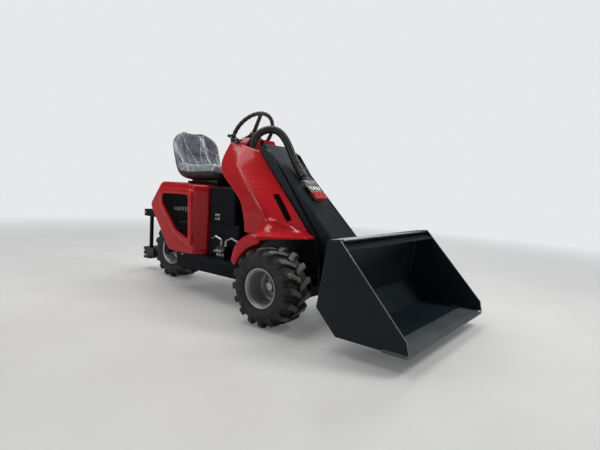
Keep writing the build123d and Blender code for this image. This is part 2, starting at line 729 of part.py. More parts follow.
# Control levers on the right cover
def levers():
    """Three short levers with ball knobs on a base strip."""
    body = block(*LEVER_BASE, COVER_TOP_REAR, COVER_TOP_REAR + LEVER_BASE_THICK)
    for x in LEVER_X:
        foot = (x, LEVER_FOOT_Y, COVER_TOP_REAR + LEVER_BASE_THICK / 2)
        knob = (x - LEVER_SET_BACK, LEVER_KNOB_Y, COVER_TOP_REAR + LEVER_RISE)
        body += bar(LEVER_R, foot, knob)
        body += Pos(*knob) * Sphere(KNOB_R)
    return body


# Rear engine cover
SIDE_OUTLINE = [
    (REAR_LOW_X, FRAME_TOP), (REAR_FRONT_X, FRAME_TOP), (REAR_FRONT_X, REAR_TOP),
    (REAR_BACK_TOP_X, REAR_TOP), REAR_VERTEX,
]
PLAN_OUTLINE = [
    (REAR_VERTEX[0] - 5, -REAR_HALF), (REAR_CORNER_X, -REAR_HALF), (REAR_FRONT_X, -REAR_INNER_HALF),
    (REAR_FRONT_X, REAR_INNER_HALF), (REAR_CORNER_X, REAR_HALF), (REAR_VERTEX[0] - 5, REAR_HALF),
]
GRILLE_OUTLINE = [(-1229, 718), (-1226, 640), (-1050, 452), (-902, 396), (-914, 720)]


def cover_body(inset):
    """Outer or inner body of the rear cover, drawn in by a wall thickness."""
    side = side_cut(offset_loop(SIDE_OUTLINE, inset), -REAR_HALF, REAR_HALF)
    plan = plan_cut(offset_loop(PLAN_OUTLINE, inset), FRAME_TOP, REAR_TOP)
    return side & plan


def rear_cover():
    """Hollow cover with raised borders round both grille openings, open inside and at the rear wheel."""
    outer = cover_body(0)
    edges = outer.edges().filter_by(lambda e: e.center().Z > FRAME_TOP + 20)
    outer = fillet(edges.filter_by(Plane.XZ) + edges.filter_by(Axis.Z), 18)
    border = offset(make_face(Polyline(*GRILLE_OUTLINE, close=True)), amount=GRILLE_BORDER)
    raised = extrude(Plane.XZ.offset(REAR_HALF - 2) * border, amount=GRILLE_RAISE + 2, dir=(0, -1, 0))
    body = outer + raised + mirrored(raised) - cover_body(REAR_WALL)
    body -= side_cut(GRILLE_OUTLINE, -REAR_HALF - 20, REAR_HALF + 20)
    body -= block(REAR_LOW_X - 200, REAR_FRONT_X - 20, -220, 220, FRAME_TOP - 5, FRAME_TOP + 20)
    body -= block(REAR_VERTEX[0] - 20, REAR_LOW_X + 40, -130, 130, FRAME_TOP - 5, 600)
    body -= block(REAR_FRONT_X - 20, REAR_FRONT_X + 5, -200, 200, FRAME_TOP + 20, REAR_TOP - 60)
    return body


save(rear_cover(), "rear_engine_cover")


def grille():
    """Right mesh panel behind its opening, with slanted slots."""
    face = make_face(Polyline(*offset_loop(GRILLE_OUTLINE, -8), close=True))
    back = REAR_HALF - REAR_WALL
    panel = extrude(Plane.XZ.offset(back - GRILLE_SHEET) * face, amount=GRILLE_SHEET, dir=(0, -1, 0))
    left = min(x for x, z in GRILLE_OUTLINE)
    right = max(x for x, z in GRILLE_OUTLINE)
    pitch = (right - left) / GRILLE_SLOTS
    window = side_cut(offset_loop(GRILLE_OUTLINE, 12), -back - 1, -back + GRILLE_SHEET + 1)
    for i in range(GRILLE_SLOTS):
        x = left + pitch * (i + 0.5)
        slot = block(x - pitch * 0.25, x + pitch * 0.25, -back - 1, -back + GRILLE_SHEET + 1, 300, 800)
        panel -= slot & window
    return panel


GRILLE = grille()
save(GRILLE, "grille_right")
save(mirrored(GRILLE), "grille_left")

# Engine, tank and lower box
save(block(-1110, -840, -190, 190, FRAME_TOP, 750), "engine_block")
tank = block(TANK_REAR, TANK_FRONT, -REAR_INNER_HALF, REAR_INNER_HALF, TANK_BOTTOM, TANK_TOP)
save(fillet(tank.edges().filter_by(Axis.X) + tank.edges().filter_by(Axis.Z), 14), "oil_tank")
save(block(TANK_REAR, LOWER_FRONT, -LOWER_HALF, LOWER_HALF, FRAME_TOP, TANK_BOTTOM), "battery_box")


# Rear bridge with posts, hitch block
def bridge():
    """Riser on the frame's rear end, beam over the rear wheel and two posts down to the hitch."""
    riser = block(FRAME_REAR - 22, FRAME_REAR, -120, 120, FRAME_BOTTOM, BEAM_TOP)
    beam = block(BEAM_REAR, FRAME_REAR, -BEAM_HALF, BEAM_HALF, BEAM_BOTTOM, BEAM_TOP)
    body = riser + beam
    half = POST_SIZE / 2
    for y in (-POST_SPREAD, POST_SPREAD):
        body += block(POST_X - half, POST_X + half, y - half, y + half, HITCH_TOP, BEAM_BOTTOM)
    return body - bar(KINGPIN_R + RUN_GAP, (-WHEELBASE, 0, BEAM_BOTTOM - 5), (-WHEELBASE, 0, BEAM_TOP + 5))


def hitch():
    """Hitch block with a ridged jaw at its rear end and a vertical pin hole."""
    body = block(HITCH_END + 60, HITCH_FRONT, -POST_SPREAD - 15, POST_SPREAD + 15, HITCH_BOTTOM + 40, HITCH_TOP)
    for i in range(3):
        low = HITCH_BOTTOM + 40 * i
        body += block(HITCH_END, HITCH_END + 90, -HITCH_HALF, HITCH_HALF, low, low + 22)
    body += block(HITCH_END + 50, HITCH_END + 90, -HITCH_HALF, HITCH_HALF, HITCH_BOTTOM, HITCH_TOP)
    return body - bar(HITCH_PIN_R, (HITCH_END + 28, 0, HITCH_BOTTOM - 5), (HITCH_END + 28, 0, HITCH_TOP + 5))


save(bridge(), "rear_bridge")
save(hitch(), "hitch_block")


# Steered fork
def fork():
    """Crown, two legs, kingpin and wheel axle of the steered rear wheel."""
    top = BEAM_BOTTOM - FORK_CROWN_GAP
    inner = TYRE_HALF + FORK_SIDE_GAP
    outer = inner + FORK_LEG
    half = FORK_WIDTH / 2
    x = -WHEELBASE
    body = block(x - half, x + half, -outer, outer, top - FORK_CROWN, top)
    leg = block(x - half, x + half, inner, outer, AXLE_Z, top)
    leg += bar(half, (x, inner, AXLE_Z), (x, outer, AXLE_Z))
    body += leg + mirrored(leg)
    body += bar(KINGPIN_R, (x, 0, top), (x, 0, BEAM_TOP + 12))
    body += bar(KINGPIN_R + 12, (x, 0, top), (x, 0, BEAM_BOTTOM - 0.5))
    return body + bar(REAR_AXLE_R, (x, -outer, AXLE_Z), (x, outer, AXLE_Z))


save(fork(), "rear_fork")


# Seat
def seat():
    """Base bar, cushion and backrest, the two pads with rounded corners."""
    base_rear = SEAT_REAR + SEAT_BASE_INSET
    base_front = SEAT_FRONT - SEAT_BASE_INSET
    base = block(base_rear, base_front, -SEAT_BASE_HALF, SEAT_BASE_HALF, REAR_TOP, SEAT_BASE)
    dip = SEAT_TOP - SEAT_DIP
    pan = [
        (SEAT_REAR, SEAT_BASE + 30), (SEAT_REAR + 60, SEAT_BASE), (SEAT_FRONT - 60, SEAT_BASE),
        (SEAT_FRONT, SEAT_BASE + 50), (SEAT_FRONT - 20, SEAT_TOP - 10), (SEAT_FRONT - 90, SEAT_TOP),
        (SEAT_REAR + BACK_THICK, dip), (SEAT_REAR, dip),
    ]
    cushion = side_cut(pan, -SEAT_HALF, SEAT_HALF)
    reach = SEAT_FRONT - BACK_TOP_X
    centre = (SEAT_FRONT - reach / 2, 0, SEAT_BASE)
    cushion &= extrude(Plane(origin=centre) * RectangleRounded(reach, 2 * SEAT_HALF, CUSHION_CORNER_R), amount=200)
    foot = dip + SEAT_GAP
    shape = [
        (SEAT_REAR + BACK_THICK - 4, foot), (SEAT_REAR - 4, foot),
        (BACK_TOP_X - 10, BACK_TOP - 40), (BACK_TOP_X + 20, BACK_TOP), (BACK_TOP_X + 65, BACK_TOP - 8),
        (BACK_TOP_X + BACK_THICK, BACK_TOP - 50),
    ]
    back = side_cut(shape, -SEAT_HALF, SEAT_HALF)
    tall = 2 * (BACK_TOP - foot)
    front_view = Plane(origin=(BACK_TOP_X - 50, 0, BACK_TOP - tall / 2), x_dir=(0, 1, 0), z_dir=(1, 0, 0))
    back &= extrude(front_view * RectangleRounded(2 * SEAT_HALF, tall, BACK_CORNER_R), amount=300)
    return base, cushion, back


SEAT_PARTS = seat()
save(SEAT_PARTS[0], "seat_base")
save(SEAT_PARTS[1], "seat_cushion")
save(SEAT_PARTS[2], "seat_backrest")

save(levers(), "control_levers")


# Step plates beside the battery box
def step_plate():
    """Left foot plate, bent down along its outer edge."""
    top = block(STEP_REAR, STEP_FRONT, FRAME_HALF, STEP_OUT, FRAME_TOP, FRAME_TOP + STEP_SHEET)
    lip = block(STEP_REAR, STEP_FRONT, STEP_OUT - STEP_SHEET, STEP_OUT, FRAME_TOP - STEP_LIP, FRAME_TOP)
    return top + lip


save(step_plate(), "step_plate_left")
save(mirrored(step_plate()), "step_plate_right")


# Valve block with steel pipes, on the right step plate
def valve():
    """Valve body standing on the right foot plate against the battery box."""
    foot = FRAME_TOP + STEP_SHEET
    return block(VALVE_REAR, VALVE_FRONT, -VALVE_OUT, -LOWER_HALF, foot, foot + VALVE_HIGH)


def pipes():
    """Two bent steel pipes that rise from the valve body and run out fore and aft."""
    top = FRAME_TOP + STEP_SHEET + VALVE_HIGH
    middle = (VALVE_REAR + VALVE_FRONT) / 2
    body = Part()
    for side in (-1, 1):
        x = middle + side * PIPE_FROM_MIDDLE
        route = [
            (x, PIPE_Y, top), (x, PIPE_Y, top + 40), (x + side * 60, PIPE_Y - 5, top + 62),
            (x + side * 110, PIPE_Y + 8, top + 40),
        ]
        path = FilletPolyline(*route, radius=PIPE_BEND_R)
        body += sweep(Plane(origin=route[0], z_dir=(0, 0, 1)) * Circle(PIPE_R), path=path)
    return body


save(valve(), "valve_block")
save(pipes(), "steel_pipes")


# Quick couplers on the boom
def couplers():
    """Four couplers side by side on a bar, lying along the boom's top plate."""
    foot = [
        boom_point(COUPLER_FROM + 20, BOOM_ABOVE), boom_point(COUPLER_FROM + 46, BOOM_ABOVE),
        boom_point(COUPLER_FROM + 46, COUPLER_UP), boom_point(COUPLER_FROM + 20, COUPLER_UP),
    ]
    half = COUPLER_R + COUPLER_PITCH * (COUPLER_COUNT - 1) / 2
    body = side_cut(foot, COUPLER_MID - half, COUPLER_MID + half)
    return body + coupler_bars(COUPLER_FROM, COUPLER_TO, COUPLER_R)


def coupler_bars(along_from, along_to, radius):
    """Round bars side by side, between two places along the boom."""
    bars = []
    for i in range(COUPLER_COUNT):
        y = COUPLER_MID + COUPLER_PITCH * (i - (COUPLER_COUNT - 1) / 2)
        start = boom_point(along_from, COUPLER_UP)
        end = boom_point(along_to, COUPLER_UP)
        bars.append(bar(radius, (start[0], y, start[1]), (end[0], y, end[1])))
    return Part() + bars


save(couplers(), "quick_couplers")
save(coupler_bars(COUPLER_TO, COUPLER_TO + 34, COUPLER_R + 1.5), "coupler_caps")

# Hose bundle from the tower over the boom pivot to the couplers
HOSE_DIA = 46
GLAND_X = -503
GLAND_Y = -125
GLAND_LOW = 1012
GLAND_WALL = 4
GLAND_ARM = 20
GLAND_TAB = 16
HOSE_ROUTE = [
    (GLAND_X, GLAND_Y, 1052), (GLAND_X, GLAND_Y, 1098), (-493, -112, 1145), (-463, -84, 1186),
    (-415, -46, 1206), (-362, -16, 1190), (-317, -4, 1144), (-281, 2, 1086), (-247, 2, 1025),
    (-209, -4, 971), (-167, -13, 924), (-124, -24, 881),
]


def route_radii(points):
    """Largest smooth bend radius at each inner point of a route."""
    radii = []
    for a, b, c in zip(points, points[1:], points[2:]):
        before = Vector(*b) - Vector(*a)
        after = Vector(*c) - Vector(*b)
        turn = radians(before.get_angle(after))
        radii.append(0.45 * min(before.length, after.length) / tan(turn / 2))
    return radii


hose_path = FilletPolyline(*HOSE_ROUTE, radius=route_radii(HOSE_ROUTE))
hose_start = Plane(origin=HOSE_ROUTE[0], z_dir=hose_path % 0)
hose = sweep(hose_start * Circle(HOSE_DIA / 2), path=hose_path)
save(hose, "hose_bundle")
gland = bar(HOSE_DIA / 2 + GLAND_WALL, (GLAND_X, GLAND_Y, GLAND_LOW), (GLAND_X, GLAND_Y, HOSE_ROUTE[0][2]))
gland += block(COWL_FRONT, GLAND_X, GLAND_Y - GLAND_ARM, GLAND_Y + GLAND_ARM, GLAND_LOW, GLAND_LOW + 2 * GLAND_TAB)
save(gland - block(COWL_REAR, COWL_FRONT, -200, 200, 900, 1200), "hose_gland")
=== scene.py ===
import json
import math

import bmesh
import bpy
import numpy as np
from mathutils import Matrix, Vector, noise

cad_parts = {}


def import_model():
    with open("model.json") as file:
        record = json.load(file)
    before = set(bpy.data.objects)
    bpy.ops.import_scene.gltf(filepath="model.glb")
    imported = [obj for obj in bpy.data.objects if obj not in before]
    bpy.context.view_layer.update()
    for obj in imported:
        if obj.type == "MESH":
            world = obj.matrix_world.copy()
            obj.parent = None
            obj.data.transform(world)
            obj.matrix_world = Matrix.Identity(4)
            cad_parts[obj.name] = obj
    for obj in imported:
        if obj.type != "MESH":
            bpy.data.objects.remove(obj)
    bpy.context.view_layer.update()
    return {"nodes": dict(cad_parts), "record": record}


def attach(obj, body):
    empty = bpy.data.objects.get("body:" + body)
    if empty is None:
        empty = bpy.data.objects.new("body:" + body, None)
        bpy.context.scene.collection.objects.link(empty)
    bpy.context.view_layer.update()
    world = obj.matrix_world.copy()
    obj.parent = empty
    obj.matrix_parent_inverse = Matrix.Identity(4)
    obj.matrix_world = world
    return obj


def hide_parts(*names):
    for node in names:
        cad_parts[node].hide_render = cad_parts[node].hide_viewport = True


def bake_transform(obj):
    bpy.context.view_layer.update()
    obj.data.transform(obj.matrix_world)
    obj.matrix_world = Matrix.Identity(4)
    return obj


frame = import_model()
NODES = frame["nodes"]
SCENE = bpy.context.scene

# Lengths below are in millimetres from the front axle, X forward, Y left, Z up, as in the part's source.
SHIFT = 500
WHEELBASE = 1440
AXLE_Z = 230
HALF_TRACK = 440
TYRE_R = 230
LUG_TOP_R = 226.5
LUG_PITCHES = 16
BEAD_R = 101.5
RIM_FLANGE_R = 118
RIM_HALF = 97
PIVOT = (-370, 1000)
BOOM_ANGLE = math.radians(-44.2)
BOOM_LENGTH = 1004


def at(x, y, z):
    """A point of the part's source as a point of the scene, in metres."""
    return Vector(((x + SHIFT) / 1000, y / 1000, z / 1000))


def boom_at(along, y, up):
    """A point given along the boom from its pivot, across it and square to it."""
    x = PIVOT[0] + along * math.cos(BOOM_ANGLE) - up * math.sin(BOOM_ANGLE)
    z = PIVOT[1] + along * math.sin(BOOM_ANGLE) + up * math.cos(BOOM_ANGLE)
    return at(x, y, z)


def linked(name, data):
    """A new object in the scene round its data."""
    thing = bpy.data.objects.new(name, data)
    SCENE.collection.objects.link(thing)
    return thing


# Camera, from the two vanishing points of the photograph
FOCAL_PX = 445.1
PHOTO_SIZE = (600, 450)
VANISH_BACK = (-270, 156.6)
VANISH_LEFT = (650, 204.7)
CAMERA_AT = (2.1974, -2.36816, 0.82)


def camera():
    """The photograph's camera."""
    def ray(point):
        return Vector((point[0] - PHOTO_SIZE[0] / 2, point[1] - PHOTO_SIZE[1] / 2, FOCAL_PX)).normalized()

    back = ray(VANISH_BACK)
    left = ray(VANISH_LEFT)
    left = (left - back * left.dot(back)).normalized()
    x, y = -back, left
    z = x.cross(y)
    right, down, ahead = (Vector((x[i], y[i], z[i])) for i in range(3))
    data = bpy.data.cameras.new("photo_camera")
    data.sensor_width = 36
    data.sensor_fit = "HORIZONTAL"
    data.lens = FOCAL_PX / PHOTO_SIZE[0] * data.sensor_width
    view = linked("photo_camera", data)
    turn = Matrix((right, -down, -ahead)).transposed().to_4x4()
    view.matrix_world = Matrix.Translation(CAMERA_AT) @ turn
    SCENE.camera = view


# Materials
def new_material(name):
    """An empty node material with its shader and object coordinates."""
    mat = bpy.data.materials.new(name)
    mat.use_nodes = True
    tree = mat.node_tree
    shader = tree.nodes["Principled BSDF"]
    coords = tree.nodes.new("ShaderNodeTexCoord")
    return mat, tree, shader, coords.outputs["Object"]


def fill(tree, node, inputs):
    """A node with its inputs set: a socket is linked, anything else is a fixed value."""
    for key, value in inputs.items():
        if isinstance(value, bpy.types.NodeSocket):
            tree.links.new(value, node.inputs[key])
        else:
            node.inputs[key].default_value = value
    return node


def add_node(tree, kind, inputs):
    """A new shader node with its inputs set."""
    return fill(tree, tree.nodes.new("ShaderNode" + kind), inputs)


def math_node(tree, operation, a, b):
    """The result of a math operation on two values or sockets."""
    node = add_node(tree, "Math", {0: a, 1: b})
    node.operation = operation
    return node.outputs[0]


def noise_node(tree, coords, scale, detail=4, rough=0.55, stretch=None):
    """Noise over the object's own coordinates."""
    if stretch:
        coords = add_node(tree, "Mapping", {"Scale": stretch, "Vector": coords}).outputs["Vector"]
    inputs = {"Scale": scale, "Detail": detail, "Roughness": rough, "Vector": coords}
    return add_node(tree, "TexNoise", inputs).outputs["Fac"]


def ramp(tree, value, low, high, out_low, out_high):
    """A value mapped from one range to another, kept inside it."""
    inputs = {"Value": value, "From Min": low, "From Max": high, "To Min": out_low, "To Max": out_high}
    return add_node(tree, "MapRange", inputs).outputs["Result"]


def mix_colour(tree, factor, a, b):
    """Two colours or colour sockets mixed by a factor socket."""
    node = tree.nodes.new("ShaderNodeMix")
    node.data_type = "RGBA"
    a, b = ((*c, 1) if isinstance(c, tuple) else c for c in (a, b))
    return fill(tree, node, {"Factor": factor, 6: a, 7: b}).outputs[2]


def bump(tree, shader, height, distance, strength=1.0, edge=0.0):
    """Surface relief from a height socket, over softened edges where a radius is given."""
    inputs = {"Distance": distance, "Strength": strength, "Height": height}
    if edge:
        soft = add_node(tree, "Bevel", {"Radius": edge})
        soft.samples = 4
        inputs["Normal"] = soft.outputs["Normal"]
    fill(tree, shader, {"Normal": add_node(tree, "Bump", inputs).outputs["Normal"]})


def edge_mask(tree, radius, low, high):
    """1 along convex and concave edges, 0 on flat places."""
    soft = add_node(tree, "Bevel", {"Radius": radius})
    soft.samples = 6
    flat = tree.nodes.new("ShaderNodeNewGeometry")
    dot = add_node(tree, "VectorMath", {0: soft.outputs["Normal"], 1: flat.outputs["Normal"]})
    dot.operation = "DOT_PRODUCT"
    return ramp(tree, dot.outputs["Value"], high, low, 0, 1)


def paint(name, colour, rough, spread=0.12, coat=0.0, metallic=0.0, relief=0.00012, grain=420,
          edge=0.0012, dust=0, worn=None, shine=0.35):
    """Sprayed paint or moulding: colour that drifts a little, fine relief, dust in patches, wear on edges."""
    mat, tree, shader, coords = new_material(name)
    dark = tuple(c * (1 - spread) for c in colour)
    light = tuple(min(1, c * (1 + spread)) for c in colour)
    tone = mix_colour(tree, ramp(tree, noise_node(tree, coords, 5), 0.35, 0.65, 0, 1), dark, light)
    if dust:
        patches = ramp(tree, noise_node(tree, coords, 11, 6, 0.7), 0.48, 0.72, 0, dust)
        tone = mix_colour(tree, patches, tone, DUST)
    if worn:
        scratch = ramp(tree, noise_node(tree, coords, 60, 5, 0.7), 0.4, 0.62, 0, 1)
        rubbed = math_node(tree, "MULTIPLY", scratch, edge_mask(tree, *worn[1:]))
        tone = mix_colour(tree, rubbed, tone, worn[0])
    gloss = ramp(tree, noise_node(tree, coords, 17, 5, 0.65), 0.35, 0.65, rough * 0.9, min(1, rough * 1.12))
    fill(tree, shader, {
        "Base Color": tone, "Roughness": gloss, "Metallic": metallic, "Specular IOR Level": shine,
        "Coat Weight": coat, "Coat Roughness": 0.09,
    })
    bump(tree, shader, noise_node(tree, coords, grain, 2), relief, 1.0, edge)
    return mat


def brushed(name, colour, rough, stretch):
    """Bare metal with fine drawn lines and a few dull patches."""
    mat, tree, shader, coords = new_material(name)
    lines = noise_node(tree, coords, 260, 4, 0.6, stretch)
    dull = ramp(tree, noise_node(tree, coords, 24, 4), 0.4, 0.65, 0, 1)
    tone = mix_colour(tree, dull, colour, tuple(c * 0.72 for c in colour))
    gloss = ramp(tree, lines, 0.3, 0.7, rough * 0.7, rough * 1.4)
    fill(tree, shader, {"Base Color": tone, "Roughness": gloss, "Metallic": 1.0})
    bump(tree, shader, lines, 0.00006, 1.0, 0.0006)
    return mat


def rubber(name, colour, dusty, amount):
    """Moulded rubber with a fine grain and pale dust in patches."""
    mat, tree, shader, coords = new_material(name)
    patches = ramp(tree, noise_node(tree, coords, 16, 7, 0.72), 0.42, 0.7, 0, amount)
    gloss = ramp(tree, noise_node(tree, coords, 40, 4), 0.3, 0.7, 0.62, 0.9)
    fill(tree, shader, {"Base Color": mix_colour(tree, patches, colour, dusty), "Roughness": gloss})
    bump(tree, shader, noise_node(tree, coords, 340, 3), 0.0003, 0.8, 0.0015)
    return mat


def vinyl():
    """Seat cover: black vinyl with a pebbled grain and a soft sheen."""
    mat, tree, shader, coords = new_material("seat_vinyl_grain")
    cells = add_node(tree, "TexVoronoi", {"Scale": 420, "Vector": coords}).outputs["Distance"]
    drift = ramp(tree, noise_node(tree, coords, 9, 4), 0.35, 0.65, 0, 1)
    tone = mix_colour(tree, drift, (0.014, 0.014, 0.015), (0.026, 0.026, 0.028))
    gloss = ramp(tree, cells, 0, 0.7, 0.42, 0.62)
    fill(tree, shader, {"Base Color": tone, "Roughness": gloss, "Specular IOR Level": 0.45})
    bump(tree, shader, cells, 0.0006, 0.6)
    return mat


def film():
    """Thin clear wrapping: mostly see-through, milky along its creases and hazy in patches, with a painted whitish
    reflection in a band at the cushion's height.
    """
    mat, tree, shader, coords = new_material("clear_film")
    creases = 0.0
    for direction, scale, bend, strength in (("Y", 1.3, 6.5, 0.5), ("Y", 2.6, 9.0, 0.3), ("DIAGONAL", 1.9, 8.0, 0.42)):
        inputs = {"Scale": scale, "Distortion": bend, "Detail": 1.5, "Detail Scale": 0.9, "Vector": coords}
        wave = add_node(tree, "TexWave", inputs)
        wave.bands_direction = direction
        line = ramp(tree, wave.outputs["Fac"], 0.988, 1.0, 0.0, strength)
        creases = math_node(tree, "MAXIMUM", creases, line)
    height = add_node(tree, "SeparateXYZ", {0: coords}).outputs["Z"]
    cloud = ramp(tree, noise_node(tree, coords, 6, 5, 0.65, (1.2, 1.5, 0.7)), 0.38, 0.68, 0.04, 0.29)
    # Painted reflection: a whiter band is added by height, up to 0.2 between 0.895 m and 0.93 m, fading out by 1.04 m,
    # and below 0.845 m all the haze is cut to 0.3 as painted shade; the noise patches are random haze.
    haze_and_sheen = math_node(tree, "ADD", ramp(tree, height, 1.04, 0.93, 0.0, 0.2), cloud)
    haze_and_sheen = math_node(tree, "MULTIPLY", haze_and_sheen, ramp(tree, height, 0.845, 0.895, 0.3, 1.0))
    fill(tree, shader, {
        "Base Color": (0.62, 0.67, 0.78, 1), "Roughness": ramp(tree, haze_and_sheen, 0.1, 0.38, 0.1, 0.25),
        "Alpha": math_node(tree, "ADD", creases, haze_and_sheen),
    })
    bump(tree, shader, noise_node(tree, coords, 18, 3), 0.004, 0.5)
    return mat


DUST = (0.13, 0.125, 0.12)
MATS = {
    "red_paint": paint("red_gloss_paint", (0.41, 0.0075, 0.011), 0.26, 0.04, coat=0.32, relief=0.000008, grain=200,
                       edge=0, shine=0.1),
    "grey_paint": paint("dark_grey_paint", (0.0105, 0.0155, 0.0195), 0.34, 0.12, dust=0.025, shine=0.13,
                        worn=((0.12, 0.13, 0.14), 0.0035, 0.80, 0.99)),
    "edge_paint": paint("blade_paint", (0.07, 0.082, 0.088), 0.38, 0.18, metallic=0.2, dust=0.06,
                        worn=((0.3, 0.3, 0.3), 0.005, 0.75, 0.995)),
    "black_paint": paint("black_satin_paint", (0.0044, 0.006, 0.0084), 0.36, 0.2, dust=0.015, shine=0.07),
    "black_steel": paint("black_steel_paint", (0.008, 0.008, 0.010), 0.36, 0.2, dust=0.05),
    "mesh_black": paint("mesh_black_paint", (0.009, 0.010, 0.012), 0.7, 0.25, shine=0.15),
    "rod_chrome": brushed("chrome_rod", (0.78, 0.79, 0.8), 0.09, (1, 1, 0.08)),
    "bright_steel": brushed("zinc_steel", (0.43, 0.43, 0.40), 0.3, (1, 1, 0.2)),
    "rim_silver": paint("silver_rim_paint", (0.30, 0.30, 0.305), 0.38, 0.08, metallic=0.45, dust=0.16),
    "tyre_rubber": rubber("tyre_rubber_dusty", (0.0075, 0.0075, 0.008), (0.045, 0.043, 0.039), 0.45),
    "black_plastic": paint("black_plastic_grain", (0.013, 0.013, 0.014), 0.45, 0.2, relief=0.0003, grain=900),
    "cap_red": paint("red_plastic_cap", (0.46, 0.03, 0.03), 0.42, 0.15, relief=0.0002, grain=700),
    "seat_vinyl": vinyl(),
    "hose_sleeve": paint("hose_sleeve_plastic", (0.012, 0.012, 0.013), 0.36, 0.25, relief=0.0002, grain=600, edge=0),
    "engine_iron": paint("cast_engine_iron", (0.05, 0.05, 0.052), 0.7, 0.3, relief=0.0006, grain=180, shine=0.15),
    "film": film(),
    "bare_edge": paint("rubbed_edge_paint", (0.2, 0.215, 0.22), 0.4, 0.25, metallic=0.3, dust=0.06),
    "lug_dust": rubber("tyre_lug_dust", (0.06, 0.057, 0.05), (0.19, 0.18, 0.155), 0.85),
}
SUBPARTS = {s["node"]: s["material_slot"] for s in frame["record"]["subparts"]}
for node_name, node in NODES.items():
    node.data.materials.clear()
    node.data.materials.append(MATS[SUBPARTS[node_name]])


# Mesh helpers
def mesh_of(points, faces):
    """A mesh from points and faces."""
    mesh = bpy.data.meshes.new("shape")
    mesh.from_pydata([tuple(p) for p in points], [], faces)
    return mesh


def ring_faces(rings, count, form="capped"):
    """Faces between rings of points: "capped" or "open" at the ends, a closed "torus", or a flat "sheet"."""
    faces = []
    for j in range(rings if form == "torus" else rings - 1):
        a, b = j * count, (j + 1) % rings * count
        for k in range(count - 1 if form == "sheet" else count):
            n = (k + 1) % count
            faces.append((a + k, a + n, b + n, b + k))
    if form == "capped":
        faces += [tuple(range(count)), tuple((rings - 1) * count + k for k in range(count))]
    return faces


def circle(centre, side, other, radius, count):
    """Points round a centre in the plane of two directions."""
    turns = [math.tau * i / count for i in range(count)]
    return [centre + (side * math.cos(t) + other * math.sin(t)) * radius for t in turns]


def dress(mesh, name, slot, body=None, replaces=(), smooth=True, material=None, sharp=None):
    """A piece of the scene round a finished mesh: its finish, its body and the nodes that it stands for."""
    mesh.validate()
    joined([mesh], mesh)
    mesh.materials.clear()
    mesh.materials.append(MATS[material or slot])
    mesh.polygons.foreach_set("use_smooth", [smooth] * len(mesh.polygons))
    if sharp:
        mesh.set_sharp_from_angle(angle=math.radians(sharp))
    thing = linked(name, mesh)
    if replaces:
        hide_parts(*replaces)
    if body:
        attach(thing, body)
    return thing


class Builder:
    """Collects many small solids into one mesh."""

    def __init__(self):
        self.points = []
        self.faces = []

    def add(self, points, faces):
        start = len(self.points)
        self.points += points
        self.faces += [tuple(start + i for i in f) for f in faces]

    def lathe(self, profile, origin, axis, segments, closed=False):
        """Solid of revolution from (radius, distance along the axis) points, in metres."""
        axis = Vector(axis).normalized()
        side = axis.orthogonal().normalized()
        other = axis.cross(side)
        points = []
        for radius, along in profile:
            points += circle(Vector(origin) + axis * along, side, other, radius, segments)
        self.add(points, ring_faces(len(profile), segments, "torus" if closed else "capped"))

    def bolt(self, origin, axis, size, height=None):
        """Hexagon head on a washer; size is the width across flats, in metres."""
        height = height or size * 0.42
        self.lathe([(size * 0.78, 0), (size * 0.78, size * 0.12), (size * 0.7, size * 0.16)], origin, axis, 20)
        top = Vector(origin) + Vector(axis).normalized() * size * 0.15
        flat = size / math.sqrt(3)
        self.lathe([(flat, 0), (flat, height * 0.8), (flat * 0.84, height)], top, axis, 6)

    def tube(self, points, radius, segments=12, cap=True):
        """Round tube along a line of points; radius is a number or a function of the ring and the place in it."""
        size = radius if callable(radius) else lambda ring, place: radius
        side = (points[1] - points[0]).normalized().orthogonal().normalized()
        out = []
        for i, point in enumerate(points):
            ahead = (points[min(i + 1, len(points) - 1)] - points[max(i - 1, 0)]).normalized()
            side = (side - ahead * side.dot(ahead)).normalized()
            other = ahead.cross(side)
            for k in range(segments):
                turn = math.tau * k / segments
                out.append(point + (side * math.cos(turn) + other * math.sin(turn)) * size(i, k))
        self.add(out, ring_faces(len(points), segments, "capped" if cap else "open"))

    def prism(self, outline, direction):
        """Solid from a flat loop of points moved along a vector; bevels need its ends first."""
        faces = ring_faces(2, len(outline))
        self.add(list(outline) + [Vector(p) + direction for p in outline], faces[-2:] + faces[:-2])

    def box(self, low, high):
        """Block between two corners."""
        (x0, y0, z0), (x1, y1, z1) = low, high
        base = [Vector((x, y, z0)) for x, y in ((x0, y0), (x1, y0), (x1, y1), (x0, y1))]
        self.prism(base, Vector((0, 0, z1 - z0)))

    def weld(self, points, radius=0.0032):
        """Rippled weld bead along a line of corner points."""
        line = []
        for a, b in zip(points, points[1:]):
            steps = max(2, int((b - a).length / 0.006))
            line += [a.lerp(b, i / steps) for i in range(steps)]
        line.append(points[-1])
        self.tube(line, lambda ring, place: radius * (1 + 0.16 * (ring % 2)), 6)

    def mesh(self):
        return mesh_of(self.points, self.faces)

    def finish(self, name, slot, body, bevel=0.0, material=None, replaces=()):
        """The collected mesh as a piece, its edges bevelled where a width is given."""
        mesh = bevelled(self.mesh(), bevel) if bevel else self.mesh()
        return dress(mesh, name, slot, body, replaces, material=material, sharp=35)


def bevelled(mesh, width):
    """The mesh with its sharp edges rounded."""
    thing = linked("scratch", mesh)
    rounding = thing.modifiers.new("edge", "BEVEL")
    rounding.width = width
    rounding.segments = 2
    rounding.limit_method = "ANGLE"
    rounding.angle_limit = math.radians(30)
    return applied(thing)


def applied(thing):
    """The mesh of an object with its modifiers applied; the object goes."""
    bpy.context.view_layer.update()
    graph = bpy.context.evaluated_depsgraph_get()
    mesh = bpy.data.meshes.new_from_object(thing.evaluated_get(graph))
    bpy.data.objects.remove(thing)
    return mesh


